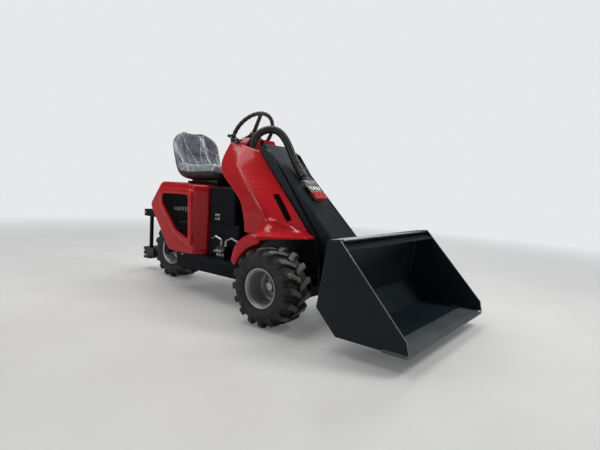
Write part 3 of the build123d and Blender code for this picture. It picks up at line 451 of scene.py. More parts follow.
def joined(meshes, out=None):
    """Several meshes as one, facing outward, in a new mesh or the given one."""
    work = bmesh.new()
    for mesh in meshes:
        work.from_mesh(mesh)
    bmesh.ops.recalc_face_normals(work, faces=work.faces)
    out = out or bpy.data.meshes.new("joined")
    work.to_mesh(out)
    work.free()
    return out


def boolean(mesh, cutters, operation="DIFFERENCE"):
    """A mesh with other meshes cut from it, or joined to it."""
    thing = linked("scratch", mesh)
    tools = [linked("scratch_tool", joined([cutter])) for cutter in cutters]
    for tool in tools:
        step = thing.modifiers.new("cut", "BOOLEAN")
        step.operation = operation
        step.solver = "EXACT"
        step.object = tool
    result = applied(thing)
    for tool in tools:
        bpy.data.objects.remove(tool)
    return result


def carved(mesh, cutters):
    """A mesh with several overlapping cutters taken out of it in one cut."""
    whole = joined([cutters[0]])
    for cutter in cutters[1:]:
        whole = boolean(whole, [cutter], "UNION")
    return boolean(mesh, [whole])


def moulded(meshes, voxel, rounds):
    """Overlapping closed meshes fused and softened into one moulding."""
    thing = linked("scratch", joined(meshes))
    fuse = thing.modifiers.new("fuse", "REMESH")
    fuse.mode = "VOXEL"
    fuse.voxel_size = voxel
    mesh = applied(thing)
    count = len(mesh.vertices)
    edges = np.zeros(len(mesh.edges) * 2, np.int64)
    mesh.edges.foreach_get("vertices", edges)
    a, b = edges.reshape(-1, 2).T
    degree = np.bincount(a, minlength=count) + np.bincount(b, minlength=count)
    co = np.zeros(count * 3)
    mesh.vertices.foreach_get("co", co)
    co = co.reshape(-1, 3)
    for i in range(rounds):
        mean = np.stack([
            (np.bincount(a, co[b, k], count) + np.bincount(b, co[a, k], count)) / degree for k in range(3)
        ], 1)
        co += (mean - co) * (0.6 if i % 3 else 0.5)
    mesh.vertices.foreach_set("co", co.ravel())
    return mesh


def mirrored(mesh):
    """The mesh on the other side of the centre plane."""
    other = mesh.copy()
    other.transform(Matrix.Scale(-1, 4, (0, 1, 0)))
    other.flip_normals()
    return other


def prism_mesh(outline, direction):
    """One closed prism as a mesh."""
    work = Builder()
    work.prism(outline, direction)
    return work.mesh()


def side_prism(outline, y_low, y_high):
    """Prism from (x, z) points between two Y values, in millimetres."""
    return prism_mesh([at(x, y_low, z) for x, z in outline], Vector((0, (y_high - y_low) / 1000, 0)))


def plan_prism(outline, z_low, z_high):
    """Prism from (x, y) points between two heights, in millimetres."""
    return prism_mesh([at(x, y, z_low) for x, y in outline], Vector((0, 0, (z_high - z_low) / 1000)))


def catmull(points, steps):
    """Smooth line of tuples through the given ones."""
    ends = [points[0]] + list(points) + [points[-1]]
    out = []
    for p0, p1, p2, p3 in zip(ends, ends[1:], ends[2:], ends[3:]):
        for i in range(steps):
            t = i / steps
            out.append(tuple(
                0.5 * (2 * b + (c - a) * t + (2 * a - 5 * b + 4 * c - d) * t * t + (3 * b - a - 3 * c + d) * t**3)
                for a, b, c, d in zip(p0, p1, p2, p3)
            ))
    out.append(tuple(points[-1]))
    return out


def smooth_step(x, low, high):
    """Smooth rise from 0 at the low mark to 1 at the high one."""
    t = min(1, max(0, (x - low) / (high - low)))
    return t * t * (3 - 2 * t)


def groove(x, width):
    """1 in the middle of a sewn line, falling off to both sides."""
    return math.exp(-((x / width) ** 2))


# Hose bundle in its spiral sleeve
HOSE_DIA = 54
SLEEVE_PITCH = 0.0165
COUPLER_UP = 84
HOSE_ROUTE = [
    (-503, -125, 1052), (-503, -125, 1098), (-493, -112, 1145), (-463, -84, 1186),
    (-415, -46, 1206), (-362, -16, 1190), (-317, -4, 1144), (-281, 2, 1086), (-247, 2, 1025),
    (-209, -4, 971), (-167, -13, 924), (-124, -24, 881),
]


def spline_points(route):
    """Points along Blender's own smooth curve through a route."""
    data = bpy.data.curves.new("route", "CURVE")
    data.dimensions = "3D"
    data.resolution_u = 14
    line = data.splines.new("NURBS")
    line.points.add(len(route) - 1)
    for point, place in zip(line.points, route):
        point.co = (*at(*place), 1)
    line.order_u = 3
    line.use_endpoint_u = True
    return [v.co.copy() for v in applied(linked("route", data)).vertices]


def even_points(points, spacing):
    """The same line as points at an even spacing."""
    lengths = [0.0]
    for a, b in zip(points, points[1:]):
        lengths.append(lengths[-1] + (b - a).length)
    count = int(lengths[-1] / spacing)
    marks = np.linspace(0, lengths[-1], count + 1)
    columns = [np.interp(marks, lengths, [p[i] for p in points]) for i in range(3)]
    return [Vector(p) for p in zip(*columns)], lengths[-1]


def coupler_tails():
    """Four short hoses out of the sleeve's end, and the couplers' nuts, sleeves and dust caps."""
    axis = boom_at(1, 0, 0) - boom_at(0, 0, 0)
    tails, nuts, caps = Builder(), Builder(), Builder()
    for spread in (-1.5, -0.5, 0.5, 1.5):
        y = 4 + 28 * spread
        line = [boom_at(238, -22 + spread * 9, 88), boom_at(262, -14 + spread * 14, 86),
                boom_at(281, (y - 10 + spread * 20) / 2, COUPLER_UP + 0.5), boom_at(296, y, COUPLER_UP)]
        tails.tube([Vector(p) for p in catmull(line, 8)], 0.0085, 14)
        for builder, along, segments, profile in (
            (nuts, 300, 6, [(0.0135, 0), (0.0135, 0.018), (0.0118, 0.02)]),
            (nuts, 352, 36, [(0.0128, 0), (0.0138, 0.002), (0.0138, 0.026), (0.0128, 0.028)]),
            *((nuts, 355 + 5 * k, 30, [(0.0139, 0), (0.0143, 0.0012), (0.0139, 0.0024)]) for k in range(5)),
            (caps, 398, 28, [(0.0142, 0), (0.0152, 0.003), (0.0152, 0.012), (0.0138, 0.015), (0.0138, 0.046),
                             (0.0148, 0.049), (0.0148, 0.056), (0.0125, 0.060), (0.004, 0.0605)]),
        ):
            builder.lathe(profile, boom_at(along, y, COUPLER_UP), axis, segments)
    ends = tails.finish("coupler_hoses", "hose_sleeve", "boom")
    caps.finish("coupler_dust_caps", "cap_red", "boom", replaces=("coupler_caps",))
    return ends, nuts.finish("coupler_nuts", "bright_steel", "boom")


def hose():
    """The sleeve: a round tube with one helical groove."""
    line, length = even_points(spline_points(HOSE_ROUTE), 0.0022)
    segments = 28

    def grooved(ring, place):
        along = ring * length / (len(line) - 1)
        phase = (along / SLEEVE_PITCH + place / segments) % 1
        dip = max(0.0, 1 - abs(phase - 0.5) / 0.17)
        return HOSE_DIA / 2000 * (1 - 0.11 * dip**0.7)

    work = Builder()
    work.tube(line, grooved, segments)
    sleeve = dress(work.mesh(), "hose_sleeve_spiral", "hose_sleeve", replaces=("hose_bundle",))
    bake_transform(sleeve)
    coupler_tails()


# Tyres
TYRE_PROFILE = [
    # radius and width round half of the carcass, from the bead to the crown
    (BEAD_R + 0.4, 0), (BEAD_R + 0.4, 70), (BEAD_R + 0.4, 89.5), (112, 89.6), (119, 90.5), (124, 94), (128, 99),
    (131, 101), (134, 100.5), (140, 103.5), (150, 106.4), (160, 107.2), (170, 106.6), (180, 104.2), (186, 101.6),
    (188, 102.2), (190.5, 101), (194, 97), (200, 89), (206, 78), (209.5, 64), (211, 46), (211.7, 24), (212, 0),
]
LUG_STATIONS = [
    # width, centre offset, half breadth, top radius, base radius
    (-8, -21, 15, 226, 205), (0, -18, 17, 229, 205), (14, -11, 17.5, 230, 205), (30, 0, 18, 230, 205),
    (44, 9, 18, 230, 203), (62, 17, 18.5, 230, 199), (80, 20, 19, 229, 194), (92, 21, 19, 225, 186),
    (101, 21.5, 18.5, 217, 178), (106.5, 22, 17, 205, 172), (107.5, 22, 15, 196, 170),
]


def tyre_mesh():
    """Carcass with two staggered rows of bar lugs, turned about the Y axis at the origin."""
    work = Builder()
    ring = TYRE_PROFILE + [(r, -w) for r, w in reversed(TYRE_PROFILE[1:-1])]
    work.lathe([(r / 1000, w / 1000) for r, w in ring], (0, 0, 0), (0, 1, 0), 112, True)
    for row, shift in ((1, 0), (-1, 0.5)):
        for i in range(LUG_PITCHES):
            turn = math.tau * (i + shift) / LUG_PITCHES
            points = []
            for w, centre, breadth, top, base in LUG_STATIONS:
                half = [(breadth + 5, base), (breadth + 1, top - 9), (breadth - 1.2, top - 2), (breadth - 4.5, top)]
                shape = [(-b, r) for b, r in half] + [(0, top)] + half[::-1]
                for offset, r in shape:
                    angle = turn + (centre + offset) / TYRE_R
                    points.append((r * math.sin(angle) / 1000, row * w / 1000, r * math.cos(angle) / 1000))
            work.add(points, ring_faces(len(LUG_STATIONS), len(shape)))
    return work.mesh()


def rim_mesh(disc_at):
    """Deep-dish rim with rolled edges, a stamped disc and round windows; the outside is toward +Y."""
    inner = BEAD_R - 5
    half = RIM_HALF
    edge = [
        (RIM_FLANGE_R - 2, half - 1), (RIM_FLANGE_R, half - 3.5), (RIM_FLANGE_R - 1, half - 6.5),
        (BEAD_R + 4, half - 8), (BEAD_R, half - 11),
    ]
    profile = edge + [(r, -w) for r, w in reversed(edge)] + [
        (RIM_FLANGE_R - 6, 1.5 - half), (inner + 4, 8 - half), (inner, 14 - half), (inner - 1, -40),
        (inner - 2, disc_at - 14), (inner - 8, disc_at - 6), (60, disc_at - 4), (36, disc_at - 2), (34, disc_at - 2),
        (34, disc_at + 6), (36, disc_at + 7), (58, disc_at + 7), (64, disc_at + 5.5), (70, disc_at + 3),
        (82, disc_at + 4), (inner - 6, disc_at + 8), (inner - 2, disc_at + 16), (inner - 1, disc_at + 30),
        (inner - 2, half - 40), (inner, half - 18), (inner + 3, half - 10), (RIM_FLANGE_R - 7, half - 2),
    ]
    work = Builder()
    work.lathe([(r / 1000, w / 1000) for r, w in profile], (0, 0, 0), (0, 1, 0), 96, True)
    mesh = work.mesh()
    windows = []
    for i in range(5):
        turn = math.tau * (i + 0.5) / 5
        spot = Builder()
        place = (0.077 * math.sin(turn), (disc_at - 15) / 1000, 0.077 * math.cos(turn))
        spot.lathe([(0.0075, 0), (0.0075, 0.035)], place, (0, 1, 0), 20)
        windows.append(spot.mesh())
    return boolean(mesh, windows)


def hub_mesh(disc_at, hub_out):
    """Hub face with its cap, wheel studs and nuts."""
    work = Builder()
    face = (disc_at + 6) / 1000
    out = hub_out / 1000
    work.lathe([
        (0.0338, face - 0.018), (0.0338, face + 0.006), (0.031, face + 0.009), (0.027, face + 0.009),
        (0.025, out - 0.004), (0.022, out), (0.008, out + 0.001),
    ], (0, 0, 0), (0, 1, 0), 40)
    for i in range(5):
        turn = math.tau * i / 5
        place = Vector((0.049 * math.sin(turn), face + 0.0006, 0.049 * math.cos(turn)))
        work.bolt(place, (0, 1, 0), 0.0155, 0.011)
        work.lathe([(0.0045, 0), (0.0045, 0.018), (0.003, 0.0195)], place, (0, 1, 0), 12)
    return work.mesh()


def placed(mesh, where, flip):
    """A copy of a mesh at a point, turned to face the machine's right where asked."""
    out = mesh.copy()
    out.transform(Matrix.Translation(where) @ Matrix.Rotation(math.pi if flip else 0, 4, "Z"))
    return out


def wheels():
    """Tyres, rims and hubs on the three wheels."""
    tread = tyre_mesh()
    front = (rim_mesh(-26), hub_mesh(-26, 14))
    rear = (rim_mesh(0), hub_mesh(0, 30))
    for name, where, flip, (dish, hub) in (
        ("front_left", at(0, HALF_TRACK, AXLE_Z), False, front),
        ("front_right", at(0, -HALF_TRACK, AXLE_Z), True, front),
        ("rear", at(-WHEELBASE, 0, AXLE_Z), True, rear),
    ):
        body = name + "_wheel"
        tyre = dress(placed(tread, where, flip), name + "_lug_tyre", "tyre_rubber", body, (name + "_tyre",), sharp=40)
        tyre.data.materials.append(MATS["lug_dust"])
        for face in tyre.data.polygons:
            out = face.center - where
            if math.hypot(out.x, out.z) > LUG_TOP_R / 1000:
                face.material_index = 1
        dress(placed(dish, where, flip), name + "_dish_rim", "rim_silver", body, (name + "_rim",), sharp=40)
        dress(placed(hub, where, flip), name + "_hub_nuts", "bright_steel", body, sharp=35)
        stem = Builder()
        side = -1 if flip else 1
        profile = [(0.004, 0), (0.004, 0.018), (0.0048, 0.019), (0.0048, 0.027), (0.0035, 0.028)]
        stem.lathe(profile, where + Vector((0.088, side * 0.055, 0)), (-0.3, side, 0), 14)
        stem.finish(name + "_valve_stem", "black_plastic", body)


# Front covers
COVER_SECTIONS = [
    # height, then the corners: rear inner, front inner, crease, rear outer
    (506, [(-330, 165), (88, 165), (-60, 362), (-320, 360)]),
    (700, [(-380, 165), (-78, 165), (-190, 362), (-372, 360)]),
    (914, [(-650, 165), (-268, 165), (-440, 325), (-655, 280)]),
    (1110, [(-645, 165), (-378, 165), (-500, 200), (-645, 205)]),
]
COVER_TOP = 1110
COVER_FALL = 0.24
COVER_MOULD = ((0.0048, 22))
ARCH_R = 275
FENDER_R = 292
FENDER_OUT = 520
SLOT_FACING = (0.70, 0.52, 0.48)


def cover_solid(inset):
    """Closed body of the left front cover through its sections, drawn in by an inset."""
    lines = []
    for corner in range(4):
        knots = []
        for height, corners in COVER_SECTIONS:
            x, y = corners[corner]
            fall = COVER_FALL * (x + 645) if height == COVER_TOP else 0
            knots.append((x, y, height - fall))
        lines.append(catmull(knots, 7))
    rings = [[Vector(p) for p in ring] for ring in zip(*lines)]
    if inset:
        for i, ring in enumerate(rings):
            middle = sum(ring, Vector()) / 4
            rings[i] = [p + (middle - p).normalized() * inset * 1.5 for p in ring]
        rings[0] = [p + Vector((0, 0, -120)) for p in rings[0]]
        rings[-1] = [p + Vector((0, 0, -inset)) for p in rings[-1]]
    return mesh_of([at(*p) for ring in rings for p in ring], ring_faces(len(rings), 4))


def arc_point(radius, angle):
    """(x, z) point round the front axle at an angle in degrees."""
    turn = math.radians(angle)
    return radius * math.cos(turn), AXLE_Z + radius * math.sin(turn)


def arc_points(radius, start, end, steps):
    """Points round the front axle between two angles in degrees."""
    return [arc_point(radius, start + (end - start) * i / steps) for i in range(steps + 1)]


def fender_radius(angle):
    """Outside radius of the fender at an angle in degrees: fullest over the rear shoulder."""
    return FENDER_R + 34 * smooth_step(angle, 90, 118) * (1 - 0.85 * smooth_step(angle, 132, 157))


def fender_solid():
    """Thick band over the left front wheel, cut back toward the cover's front corner."""
    low = 180 - math.degrees(math.asin((345 - AXLE_Z) / (ARCH_R + 10)))
    outline = [arc_point(fender_radius(a), a) for a in np.linspace(low, 90, 25)]
    outline += [(110, AXLE_Z + FENDER_R), (110, 478)] + arc_points(248, 90, low + 2, 24)
    band = side_prism(outline, 170, FENDER_OUT)
    corner = plan_prism([(-70, FENDER_OUT + 30), (140, 218), (160, FENDER_OUT + 30)], 280, 620)
    inside = side_prism([(-400, 0), (130, 0), (130, 487), (-400, 487)], 100, 292)
    return boolean(band, [corner, inside])


def fender_fillet():
    """Wedge that carries the cover's side down into the fender's top, round the arch."""
    stations = [(math.radians(a), 0) for a in np.linspace(150, 90, 19)]
    stations += [(math.radians(90), forward) for forward in (20, 40, 60, 80)]
    points = []
    for turn, forward in stations:
        top = fender_radius(math.degrees(turn))
        x = top * math.cos(turn) + forward
        inner = 362 - 1.33 * max(0, x + 60)
        outer = min(496, 510 - 1.486 * (x + 70))
        rise = 3 + 85 * smooth_step(x, -250, -90) * (1 - smooth_step(x, -60, 82))
        wide = (outer - inner) * (0.25 + 0.75 * smooth_step(x, -250, -120))
        for y, r in (
            (inner - 30, top - 8), (inner + wide, top - 4), (inner + 0.42 * wide, top + rise * 0.2),
            (inner + 0.12 * wide, top + rise * 0.55), (inner - 4, top + rise), (inner - 30, top + rise),
        ):
            points.append(at(r * math.cos(turn) + forward, y, AXLE_Z + r * math.sin(turn)))
    return mesh_of(points, ring_faces(len(stations), 6))


def slot_cutter(grow, depth):
    """Rounded prism through the front face where the slanted slot is."""
    low = at(-45, 245, 605)
    high = at(-160, 245, 775)
    run = (high - low).normalized()
    across = Vector(SLOT_FACING)
    across = (across - run * across.dot(run)).normalized()
    wide = across.cross(run)
    middle = (low + high) / 2 - across * 0.06
    ring = []
    for i in range(40):
        turn = math.tau * i / 40
        along, beside = (math.copysign(abs(v) ** 0.3, v) for v in (math.cos(turn), math.sin(turn)))
        ring.append(middle + run * (0.105 + grow) * along + wide * (0.0225 + grow) * beside)
    return prism_mesh(ring, across * depth)


def front_covers():
    """Glossy moulded covers with their fenders and slots, on both sides."""
    solid = moulded([cover_solid(0), fender_solid(), fender_fillet()], *COVER_MOULD)
    arch = side_prism(arc_points(ARCH_R, 200, 90, 40) + [(135, AXLE_Z + ARCH_R), (135, 100)], 90, FENDER_OUT - 12)
    cavity = cover_solid(16)
    tower_side = side_prism([(-900, 100), (300, 100), (300, 1300), (-900, 1300)], 60, 166.5)
    shell = carved(solid, [cavity, slot_cutter(0, 0.14), arch, tower_side])
    lining = slot_cutter(0.004, 0.028)
    lining.transform(Matrix.Translation(Vector(SLOT_FACING).normalized() * -0.012))
    for side, cover in (("left", shell), ("right", mirrored(shell))):
        dress(cover, f"front_cover_{side}_moulding", "red_paint", "chassis", (f"front_cover_{side}",), sharp=50)
    for side, plug in (("left", lining), ("right", mirrored(lining))):
        dress(plug, f"slot_lining_{side}", "mesh_black", "chassis", smooth=False)


# Rear engine cover
REAR_MOULD = ((0.005, 9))
REAR_SIDE = [(-1150, 290), (-800, 290), (-800, 793), (-1256, 806), (-1404, 620)]
GRILLE = [(-1229, 718), (-1226, 640), (-1050, 452), (-902, 396), (-914, 720)]


def with_neighbours(outline):
    """Each corner of an outline between the ones before and after it."""
    points = [Vector(p) for p in outline]
    return zip(points[-1:] + points[:-1], points, points[1:] + points[:1])


def grown(outline, distance):
    """The outline with each corner moved out from its neighbours' bisector."""
    area = sum(a[0] * b[1] - b[0] * a[1] for a, b in zip(outline, outline[1:] + outline[:1]))
    sign = 1 if area < 0 else -1
    out = []
    for a, b, c in with_neighbours(outline):
        n1, n2 = (Vector((d.y, -d.x)).normalized() * sign for d in (a - b, b - c))
        bis = n1 + n2
        out.append(tuple(b + bis * (2 * distance / bis.dot(bis))))
    return out


def rounded(outline, radius):
    """The outline with each corner turned into a short arc-like curve."""
    out = []
    for a, b, c in with_neighbours(outline):
        start, end = (b + (p - b).normalized() * min(radius, (p - b).length * 0.45) for p in (a, c))
        for k in range(6):
            t = k / 5
            out.append(tuple(start * (1 - t) ** 2 + b * 2 * t * (1 - t) + end * t * t))
    return out


def rear_body(inset, corner):
    """Closed body of the rear cover: side outlines stacked across the machine, its front corners cut back."""
    points = []
    for y, front in ((-330 + inset, -862), (-250 + inset / 2, -800), (250 - inset / 2, -800), (330 - inset, -862)):
        outline = grown([(front if x == -800 else x, z) for x, z in REAR_SIDE], -inset)
        points += [at(x, y, z) for x, z in (rounded(outline, corner) if corner else outline)]
    return mesh_of(points, ring_faces(4, len(points) // 4))


def rear_cover():
    """Glossy rear cover with a raised frame round each grille."""
    raised = side_prism(rounded(grown(GRILLE, 38), 50), 318, 347)
    solid = moulded([rear_body(0, 34), raised, mirrored(raised)], *REAR_MOULD)
    holes = [rear_body(14, 0), side_prism(rounded(GRILLE, 34), -380, 380)]
    for x0, x1, z0, z1, y in ((-1350, -820, 250, 320, 220), (-1450, -1110, 270, 600, 130), (-830, -780, 330, 735, 200)):
        holes.append(side_prism([(x0, z0), (x1, z0), (x1, z1), (x0, z1)], -y, y))
    cover = carved(solid, holes)
    dress(cover, "rear_cover_moulding", "red_paint", "chassis", ("rear_engine_cover",), sharp=50)


def inside_outline(x, z, outline):
    """True where a point lies inside the outline."""
    inside = False
    for (x1, z1), (x2, z2) in zip(outline, outline[1:] + outline[:1]):
        if (z1 > z) != (z2 > z) and x < (x2 - x1) * (z - z1) / (z2 - z1) + x1:
            inside = not inside
    return inside


def grille_mesh(side):
    """Woven wire in front of the slotted panel of one side."""
    work = Builder()
    outline = grown(GRILLE, 4)
    for slope in (1, -1):
        y = side * (326.5 + 0.7 * slope)
        for k in range(-70, 71):
            line = [(x, 560 + slope * (x + 1070) * 1.6 + k * 11) for x in [-1240 + 2.6 * i for i in range(140)]]
            line = [at(x, y, z) for x, z in line if inside_outline(x, z, outline)]
            if line and line[-1].x - line[0].x > 0.008:
                work.tube([line[0], line[-1]], 0.0011, 5)
    work.finish("grille_wire_" + ("left" if side > 0 else "right"), "mesh_black", "chassis")


# Seat, from the front edge back over the cushion and up the backrest
SEAT_PATH = [
    (-772, 866), (-816, 877), (-914, 873), (-1036, 868), (-1140, 871), (-1210, 888), (-1259, 932),
    (-1285, 1000), (-1309, 1078), (-1332, 1155), (-1348, 1206),
]
SEAT_HALF = 216
CUSHION_THICK = 94
BACK_THICK = 72


def seat_frames(count):
    """Even places along the seat's side line, each with its outward normal."""
    line, _ = even_points([at(x, 0, z) for x, z in catmull(SEAT_PATH, 10)], 0.002)
    frames = []
    for j in range(count):
        i = round(j * (len(line) - 1) / (count - 1))
        run = (line[min(i + 6, len(line) - 1)] - line[max(i - 6, 0)]).normalized()
        frames.append((line[i], Vector((run.z, 0, -run.x))))
    return frames


def seat_grid():
    """Front and back points of the seat over a grid across it and along its side line."""
    nu, nv = ((141, 201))
    front, back = [], []
    for j, (place, normal) in enumerate(seat_frames(nv)):
        v = j / (nv - 1)
        backness = smooth_step(v, 0.5, 0.66)
        thick = (CUSHION_THICK * (1 - backness) + BACK_THICK * backness) / 1000
        ends = abs(2 * v - 1)
        width = SEAT_HALF / 1000 * (1 - 0.05 * backness)
        top = smooth_step(v, 0.86, 1.0)
        nose = smooth_step(1 - v, 0.93, 1.0)
        width *= (1 + 0.05 * backness * (1 - top)) * (1 - 0.2 * nose**2.4)
        width *= math.sqrt(1 - 0.86 * (max(0.0, v - 0.8) / 0.2) ** 2.6)
        for i in range(nu):
            u = -1 + 2 * i / (nu - 1)
            x = math.sin(u * math.pi / 2) * 0.3 + u * 0.7
            rim = (1 - abs(u) ** 9) ** 0.5 * (1 - ends**18) ** 0.5
            bolster = smooth_step(abs(x), 0.52, 0.86)
            rise = 0.02 * bolster * (1 - 0.4 * top) - 0.012 * (1 - x * x)
            wrap = (0.03 + 0.028 * backness * (1 - top)) * abs(x) ** 2.8
            seam = groove(abs(x) - 0.6, 0.016) * (1 - nose) * (1 - top)
            for mark in (0.16, 0.28, 0.40, 0.66, 0.76, 0.86):
                seam += groove(v - mark, 0.0055) * (1 - smooth_step(abs(x), 0.57, 0.61))
            crease = noise.noise(Vector((x * 4.3, v * 9.1, 3.7))) * 0.0022
            middle = place + Vector((0, 1, 0)) * x * width + normal * wrap * 0.7
            front.append(middle + normal * ((thick * 0.5 + rise - 0.0045 * min(1, seam) + crease) * rim))
            back.append(middle - normal * (thick * 0.5 * rim))
    return front, back, nu, nv


def film_over(grid):
    """Clear wrapping a few millimetres over rows of the seat's points, gathered in small creases."""
    h, w = len(grid), len(grid[0])

    def outward(j, i):
        up = grid[min(j + 1, h - 1)][i] - grid[max(j - 1, 0)][i]
        across = grid[j][min(i + 1, w - 1)] - grid[j][max(i - 1, 0)]
        return across.cross(up).normalized()

    side = 1 if outward(h // 2, w // 2).z > 0 else -1
    points = []
    for j, row in enumerate(grid):
        for i, p in enumerate(row):
            q = Vector((p.x * 12 + p.z * 7, p.y * 13, p.z * 9))
            ridge = max(0, 1 - abs(noise.noise(q)) * 3)
            lift = 0.0035 + 0.0055 * ridge**2 + 0.0012 * noise.noise(q * 3.3)
            points.append(p + outward(j, i) * (side * lift))
    mesh = mesh_of(points, ring_faces(h, w, "sheet"))
    thing = dress(mesh, "seat_film", "seat_vinyl", "chassis", material="film")
    return thing, sum(f.area for f in thing.data.polygons)


def seat():
    """Bucket seat with its clear wrapping, on two slide rails."""
    front, back, nu, nv = seat_grid()
    faces = ring_faces(nv, nu, "sheet")
    faces += [tuple(nu * nv + f[k] for k in (0, 3, 2, 1)) for f in faces]
    mesh = mesh_of(front + back, faces)
    weld = bmesh.new()
    weld.from_mesh(mesh)
    bmesh.ops.remove_doubles(weld, verts=weld.verts, dist=0.0003)
    weld.to_mesh(mesh)
    weld.free()
    bucket = dress(mesh, "seat_bucket_pad", "seat_vinyl", "chassis", ("seat_cushion", "seat_backrest"))
    rows = nv - 1 - nv // 67
    wrap, area = film_over([front[j * nu:(j + 1) * nu] for j in range(rows)])

    rail = Builder()
    for y in (-120, 120):
        rail.box(at(-1150, y - 14, 797), at(-840, y + 14, 806))
        rail.box(at(-1130, y - 9, 806), at(-860, y + 9, 819))
    rail.box(at(-1120, -150, 819), at(-830, 150, 829))
    rail.box(at(-1060, -60, 797), at(-900, 60, 819))
    rail.finish("seat_rails", "black_steel", "chassis", bevel=0.0012)


# Small fittings
def fittings():
    """Bolts and welds on the chassis, the tank's cap and its seams."""
    bright, dark, tank, seam = (Builder() for _ in range(4))
    for side in (-1, 1):
        out = (0, side, 0)
        for x in (-710, -682):
            for z in (560, 588):
                bright.bolt(at(x, side * 250, z), out, 0.012)
        for x in (-1080, -860, -560, -420, -240, 60, 120):
            bright.bolt(at(x, side * 250, 262), out, 0.013)
        for turn in range(6):
            angle = math.tau * turn / 6
            bright.bolt(at(57 * math.cos(angle), side * 264, AXLE_Z + 57 * math.sin(angle)), out, 0.011)
        for x in (-1835, -1200, -1250):
            bright.bolt(at(x, side * 90, 520), out, 0.015)
        for start, end, y, z in ((-470, 118, 166.5, 292), (-1150, -1172, 91, 492), (-1840, -1720, 60, 487)):
            dark.weld([at(start, side * y, z), at(end, side * y, z)])
        corners = ((-775, 545), (-535, 545), (-535, 770), (-775, 770), (-775, 545))
        seam.tube([at(x, side * 251, z) for x, z in corners], 0.0022, 8)
    bright.finish("chassis_bolts", "bright_steel", "chassis")
    dark.finish("chassis_welds", "black_paint", "chassis")
    cap = [(0.032, 0), (0.034, 0.004), (0.034, 0.02), (0.030, 0.026), (0.012, 0.028)]
    tank.lathe(cap, at(-600, -150, 785), (0, 0, 1), 28)
    for k in range(12):
        angle = math.tau * k / 12
        spot = at(-600 + 34 * math.cos(angle), -150 + 34 * math.sin(angle), 789)
        tank.box(spot - Vector((0.002, 0.002, 0)), spot + Vector((0.002, 0.002, 0.014)))
    tank.finish("tank_cap", "black_plastic", "chassis")
    seam.finish("tank_seam", "black_paint", "chassis")


def hydraulics():
    """Valve spools, bolts and pipe fittings round the valve block."""
    metal = Builder()
    for x in (-626, -600, -574):
        metal.lathe([(0.011, 0), (0.011, 0.012), (0.008, 0.014), (0.008, 0.03), (0.005, 0.032)],
                    at(x, -300, 348), (0, -1, 0), 20)
        metal.bolt(at(x, -300, 318), (0, -1, 0), 0.013)
    for x in (-622, -578):
        metal.lathe([(0.0135, 0), (0.0135, 0.012), (0.0105, 0.013), (0.0105, 0.026), (0.0125, 0.027), (0.0125, 0.036)],
                    at(x, -270, 380), (0, 0, 1), 6)
    metal.finish("valve_fittings", "bright_steel", "chassis", bevel=0.0006)


def boom_details():
    """Pin caps, bolts and weld beads that ride on the boom."""
    caps = Builder()
    for side in (-1, 1):
        caps.lathe([(0.031, 0), (0.031, 0.006), (0.028, 0.009), (0.006, 0.009)],
                   boom_at(BOOM_LENGTH, side * 167.5, 0), (0, side, 0), 32)
        caps.bolt(boom_at(BOOM_LENGTH, side * 176, 0), (0, side, 0), 0.018)
    caps.finish("bucket_pin_caps", "black_steel", "boom")

    beads = Builder()
    for side in (-1, 1):
        beads.weld([boom_at(-70, side * 133, 58.5), boom_at(895, side * 133, 58.5)], 0.0028)
        beads.weld([boom_at(901, side * 134, 52), boom_at(901, side * 20, 52)], 0.0034)
    beads.finish("boom_welds", "grey_paint", "boom")


def bucket_details():
    """Edge strips, gussets, folded lip and weld beads that ride on the bucket."""
    work, top, strips = Builder(), Builder(), Builder()
    lip = [at(460, -537, 564), at(568, -537, 522), at(566, -537, 516), at(458, -537, 558)]
    top.prism(lip, Vector((0, 1.074, 0)))
    for side in (-1, 1):
        y = side * 536
        work.weld([at(540, y, 94), at(780, y, 94)], 0.004)
        work.weld([at(533, y, 92), at(414, y, 213), at(464, y, 552)], 0.004)
        gusset = ((457, 537, 557), (530, 537, 565), (520, 500, 564), (462, 470, 558))
        work.prism([at(x, side * across, z) for x, across, z in gusset], Vector((0, 0, 0.006)))
        strips.tube([at(x, side * 541, z) for x, z in ((529, 565), (908, 152), (922, 86))], 0.0036, 10)
    work.finish("bucket_welds", "grey_paint", "bucket")
    top.finish("bucket_top_lip", "grey_paint", "bucket", bevel=0.001)
    strips.finish("bucket_edge_strips", "edge_paint", "bucket", material="bare_edge")


def steering():
    """Rim with finger grips, padded hub and boots on the levers."""
    centre = at(-628, 0, 1177)
    axis = Vector((0.829038, 0, -0.559193))
    side = Vector((0, 1, 0))
    up = axis.cross(side)
    work = Builder()
    steps = 180
    ring = circle(centre, side, up, 0.176, steps)
    work.tube(ring + ring[:1], lambda i, k: 0.0142 + 0.0009 * math.cos(60 * math.pi * i / steps), 18, False)
    half = ((0.02, 0.018), (0.06, 0.015), (0.168, 0.014))
    for turn in (98, 218, 338):
        angle = math.radians(turn)
        ray = side * math.cos(angle) + up * math.sin(angle)
        cross = side * -math.sin(angle) + up * math.cos(angle)
        outline = half + tuple((r, -w) for r, w in reversed(half))
        work.prism([centre + ray * r + cross * w - axis * 0.004 for r, w in outline], axis * 0.009)
    hub = [(0.031, 0.021), (0.0325, 0.01), (0.03, -0.004), (0.026, -0.012), (0.018, -0.0155), (0.004, -0.0165)]
    work.lathe(hub, centre, axis, 40)
    work.finish("steering_wheel_grip", "black_plastic", "steering_wheel", bevel=0.0015, replaces=("steering_wheel",))

    boots = Builder()
    boot = [(0.011, 0), (0.0095, 0.003), (0.010, 0.006), (0.0075, 0.009), (0.008, 0.012), (0.0045, 0.016)]
    for x in (-632, -604, -576):
        boots.lathe(boot, at(x, -196, 1115), at(x - 8, -224, 1144) - at(x, -196, 1115), 20)
    boots.finish("lever_boots", "black_plastic", "chassis")


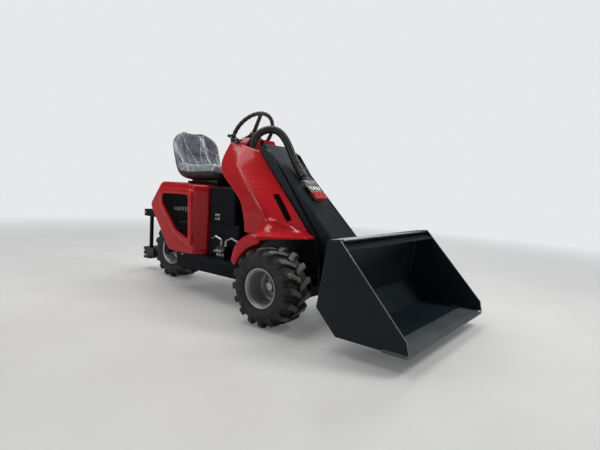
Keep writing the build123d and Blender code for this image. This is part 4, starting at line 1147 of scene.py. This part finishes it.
# Stage, lights and world
BACKGROUND = (0.80, 0.81, 0.82)


def stage():
    """Pale floor that fades into a pale surround."""
    size = 60
    mesh = mesh_of([(-size, -size, 0), (size, -size, 0), (size, size, 0), (-size, size, 0)], [(0, 1, 2, 3)])
    floor = linked("floor", mesh)
    mat, tree, shader, coords = new_material("floor_pale")
    mottle = ramp(tree, noise_node(tree, coords, 1.4, 5, 0.6), 0.35, 0.65, 0, 1)
    tone = mix_colour(tree, mottle, (0.62, 0.61, 0.595), (0.67, 0.665, 0.65))
    fill(tree, shader, {"Base Color": tone, "Roughness": 0.42})
    length = add_node(tree, "VectorMath", {0: coords})
    length.operation = "LENGTH"
    far = ramp(tree, length.outputs["Value"], 1.6, 7, 0.12, 1)
    glow = add_node(tree, "Emission", {"Color": (*BACKGROUND, 1)})
    blend = add_node(tree, "MixShader", {0: far, 1: shader.outputs[0], 2: glow.outputs[0]})
    fill(tree, tree.nodes["Material Output"], {"Surface": blend.outputs[0]})
    mesh.materials.append(mat)


def light(name, where, aim, size, power, colour=(1, 1, 1)):
    """Soft square lamp turned to a point."""
    data = bpy.data.lights.new(name, "AREA")
    data.size = size
    data.energy = power
    data.color = colour
    lamp = linked(name, data)
    lamp.location = where
    lamp.visible_camera = False
    lamp.rotation_euler = (Vector(aim) - Vector(where)).to_track_quat("-Z", "Y").to_euler()


def world():
    """Plain pale surround: dimmer as a light than as a background."""
    surround = bpy.data.worlds.new("surround")
    SCENE.world = surround
    surround.use_nodes = True
    tree = surround.node_tree
    path = tree.nodes.new("ShaderNodeLightPath")
    seen = math_node(tree, "MAXIMUM", path.outputs["Is Camera Ray"], path.outputs["Is Transmission Ray"])
    fill(tree, tree.nodes["Background"], {"Color": (*BACKGROUND, 1), "Strength": ramp(tree, seen, 0, 1, 0.22, 1)})


camera()
hose()
wheels()
front_covers()
rear_cover()
grille_mesh(-1)
grille_mesh(1)
seat()
fittings()
hydraulics()
boom_details()
bucket_details()
steering()
stage()
world()
light("overhead", (-1.3, -0.2, 3.9), (-0.2, 0, 0.3), 3.0, 118)
light("side_key", (-1.9, -3.7, 2.0), (-0.3, 0, 0.6), 1.8, 36)
light("front_fill", (2.7, 1.4, 3.2), (1.1, 0, 0.1), 1.4, 80)
light("rear_rim", (-1.7, 3.9, 2.6), (0.2, 0, 0.4), 2.6, 76, (0.94, 0.98, 1.0))
SCENE.view_settings.view_transform = "Standard"
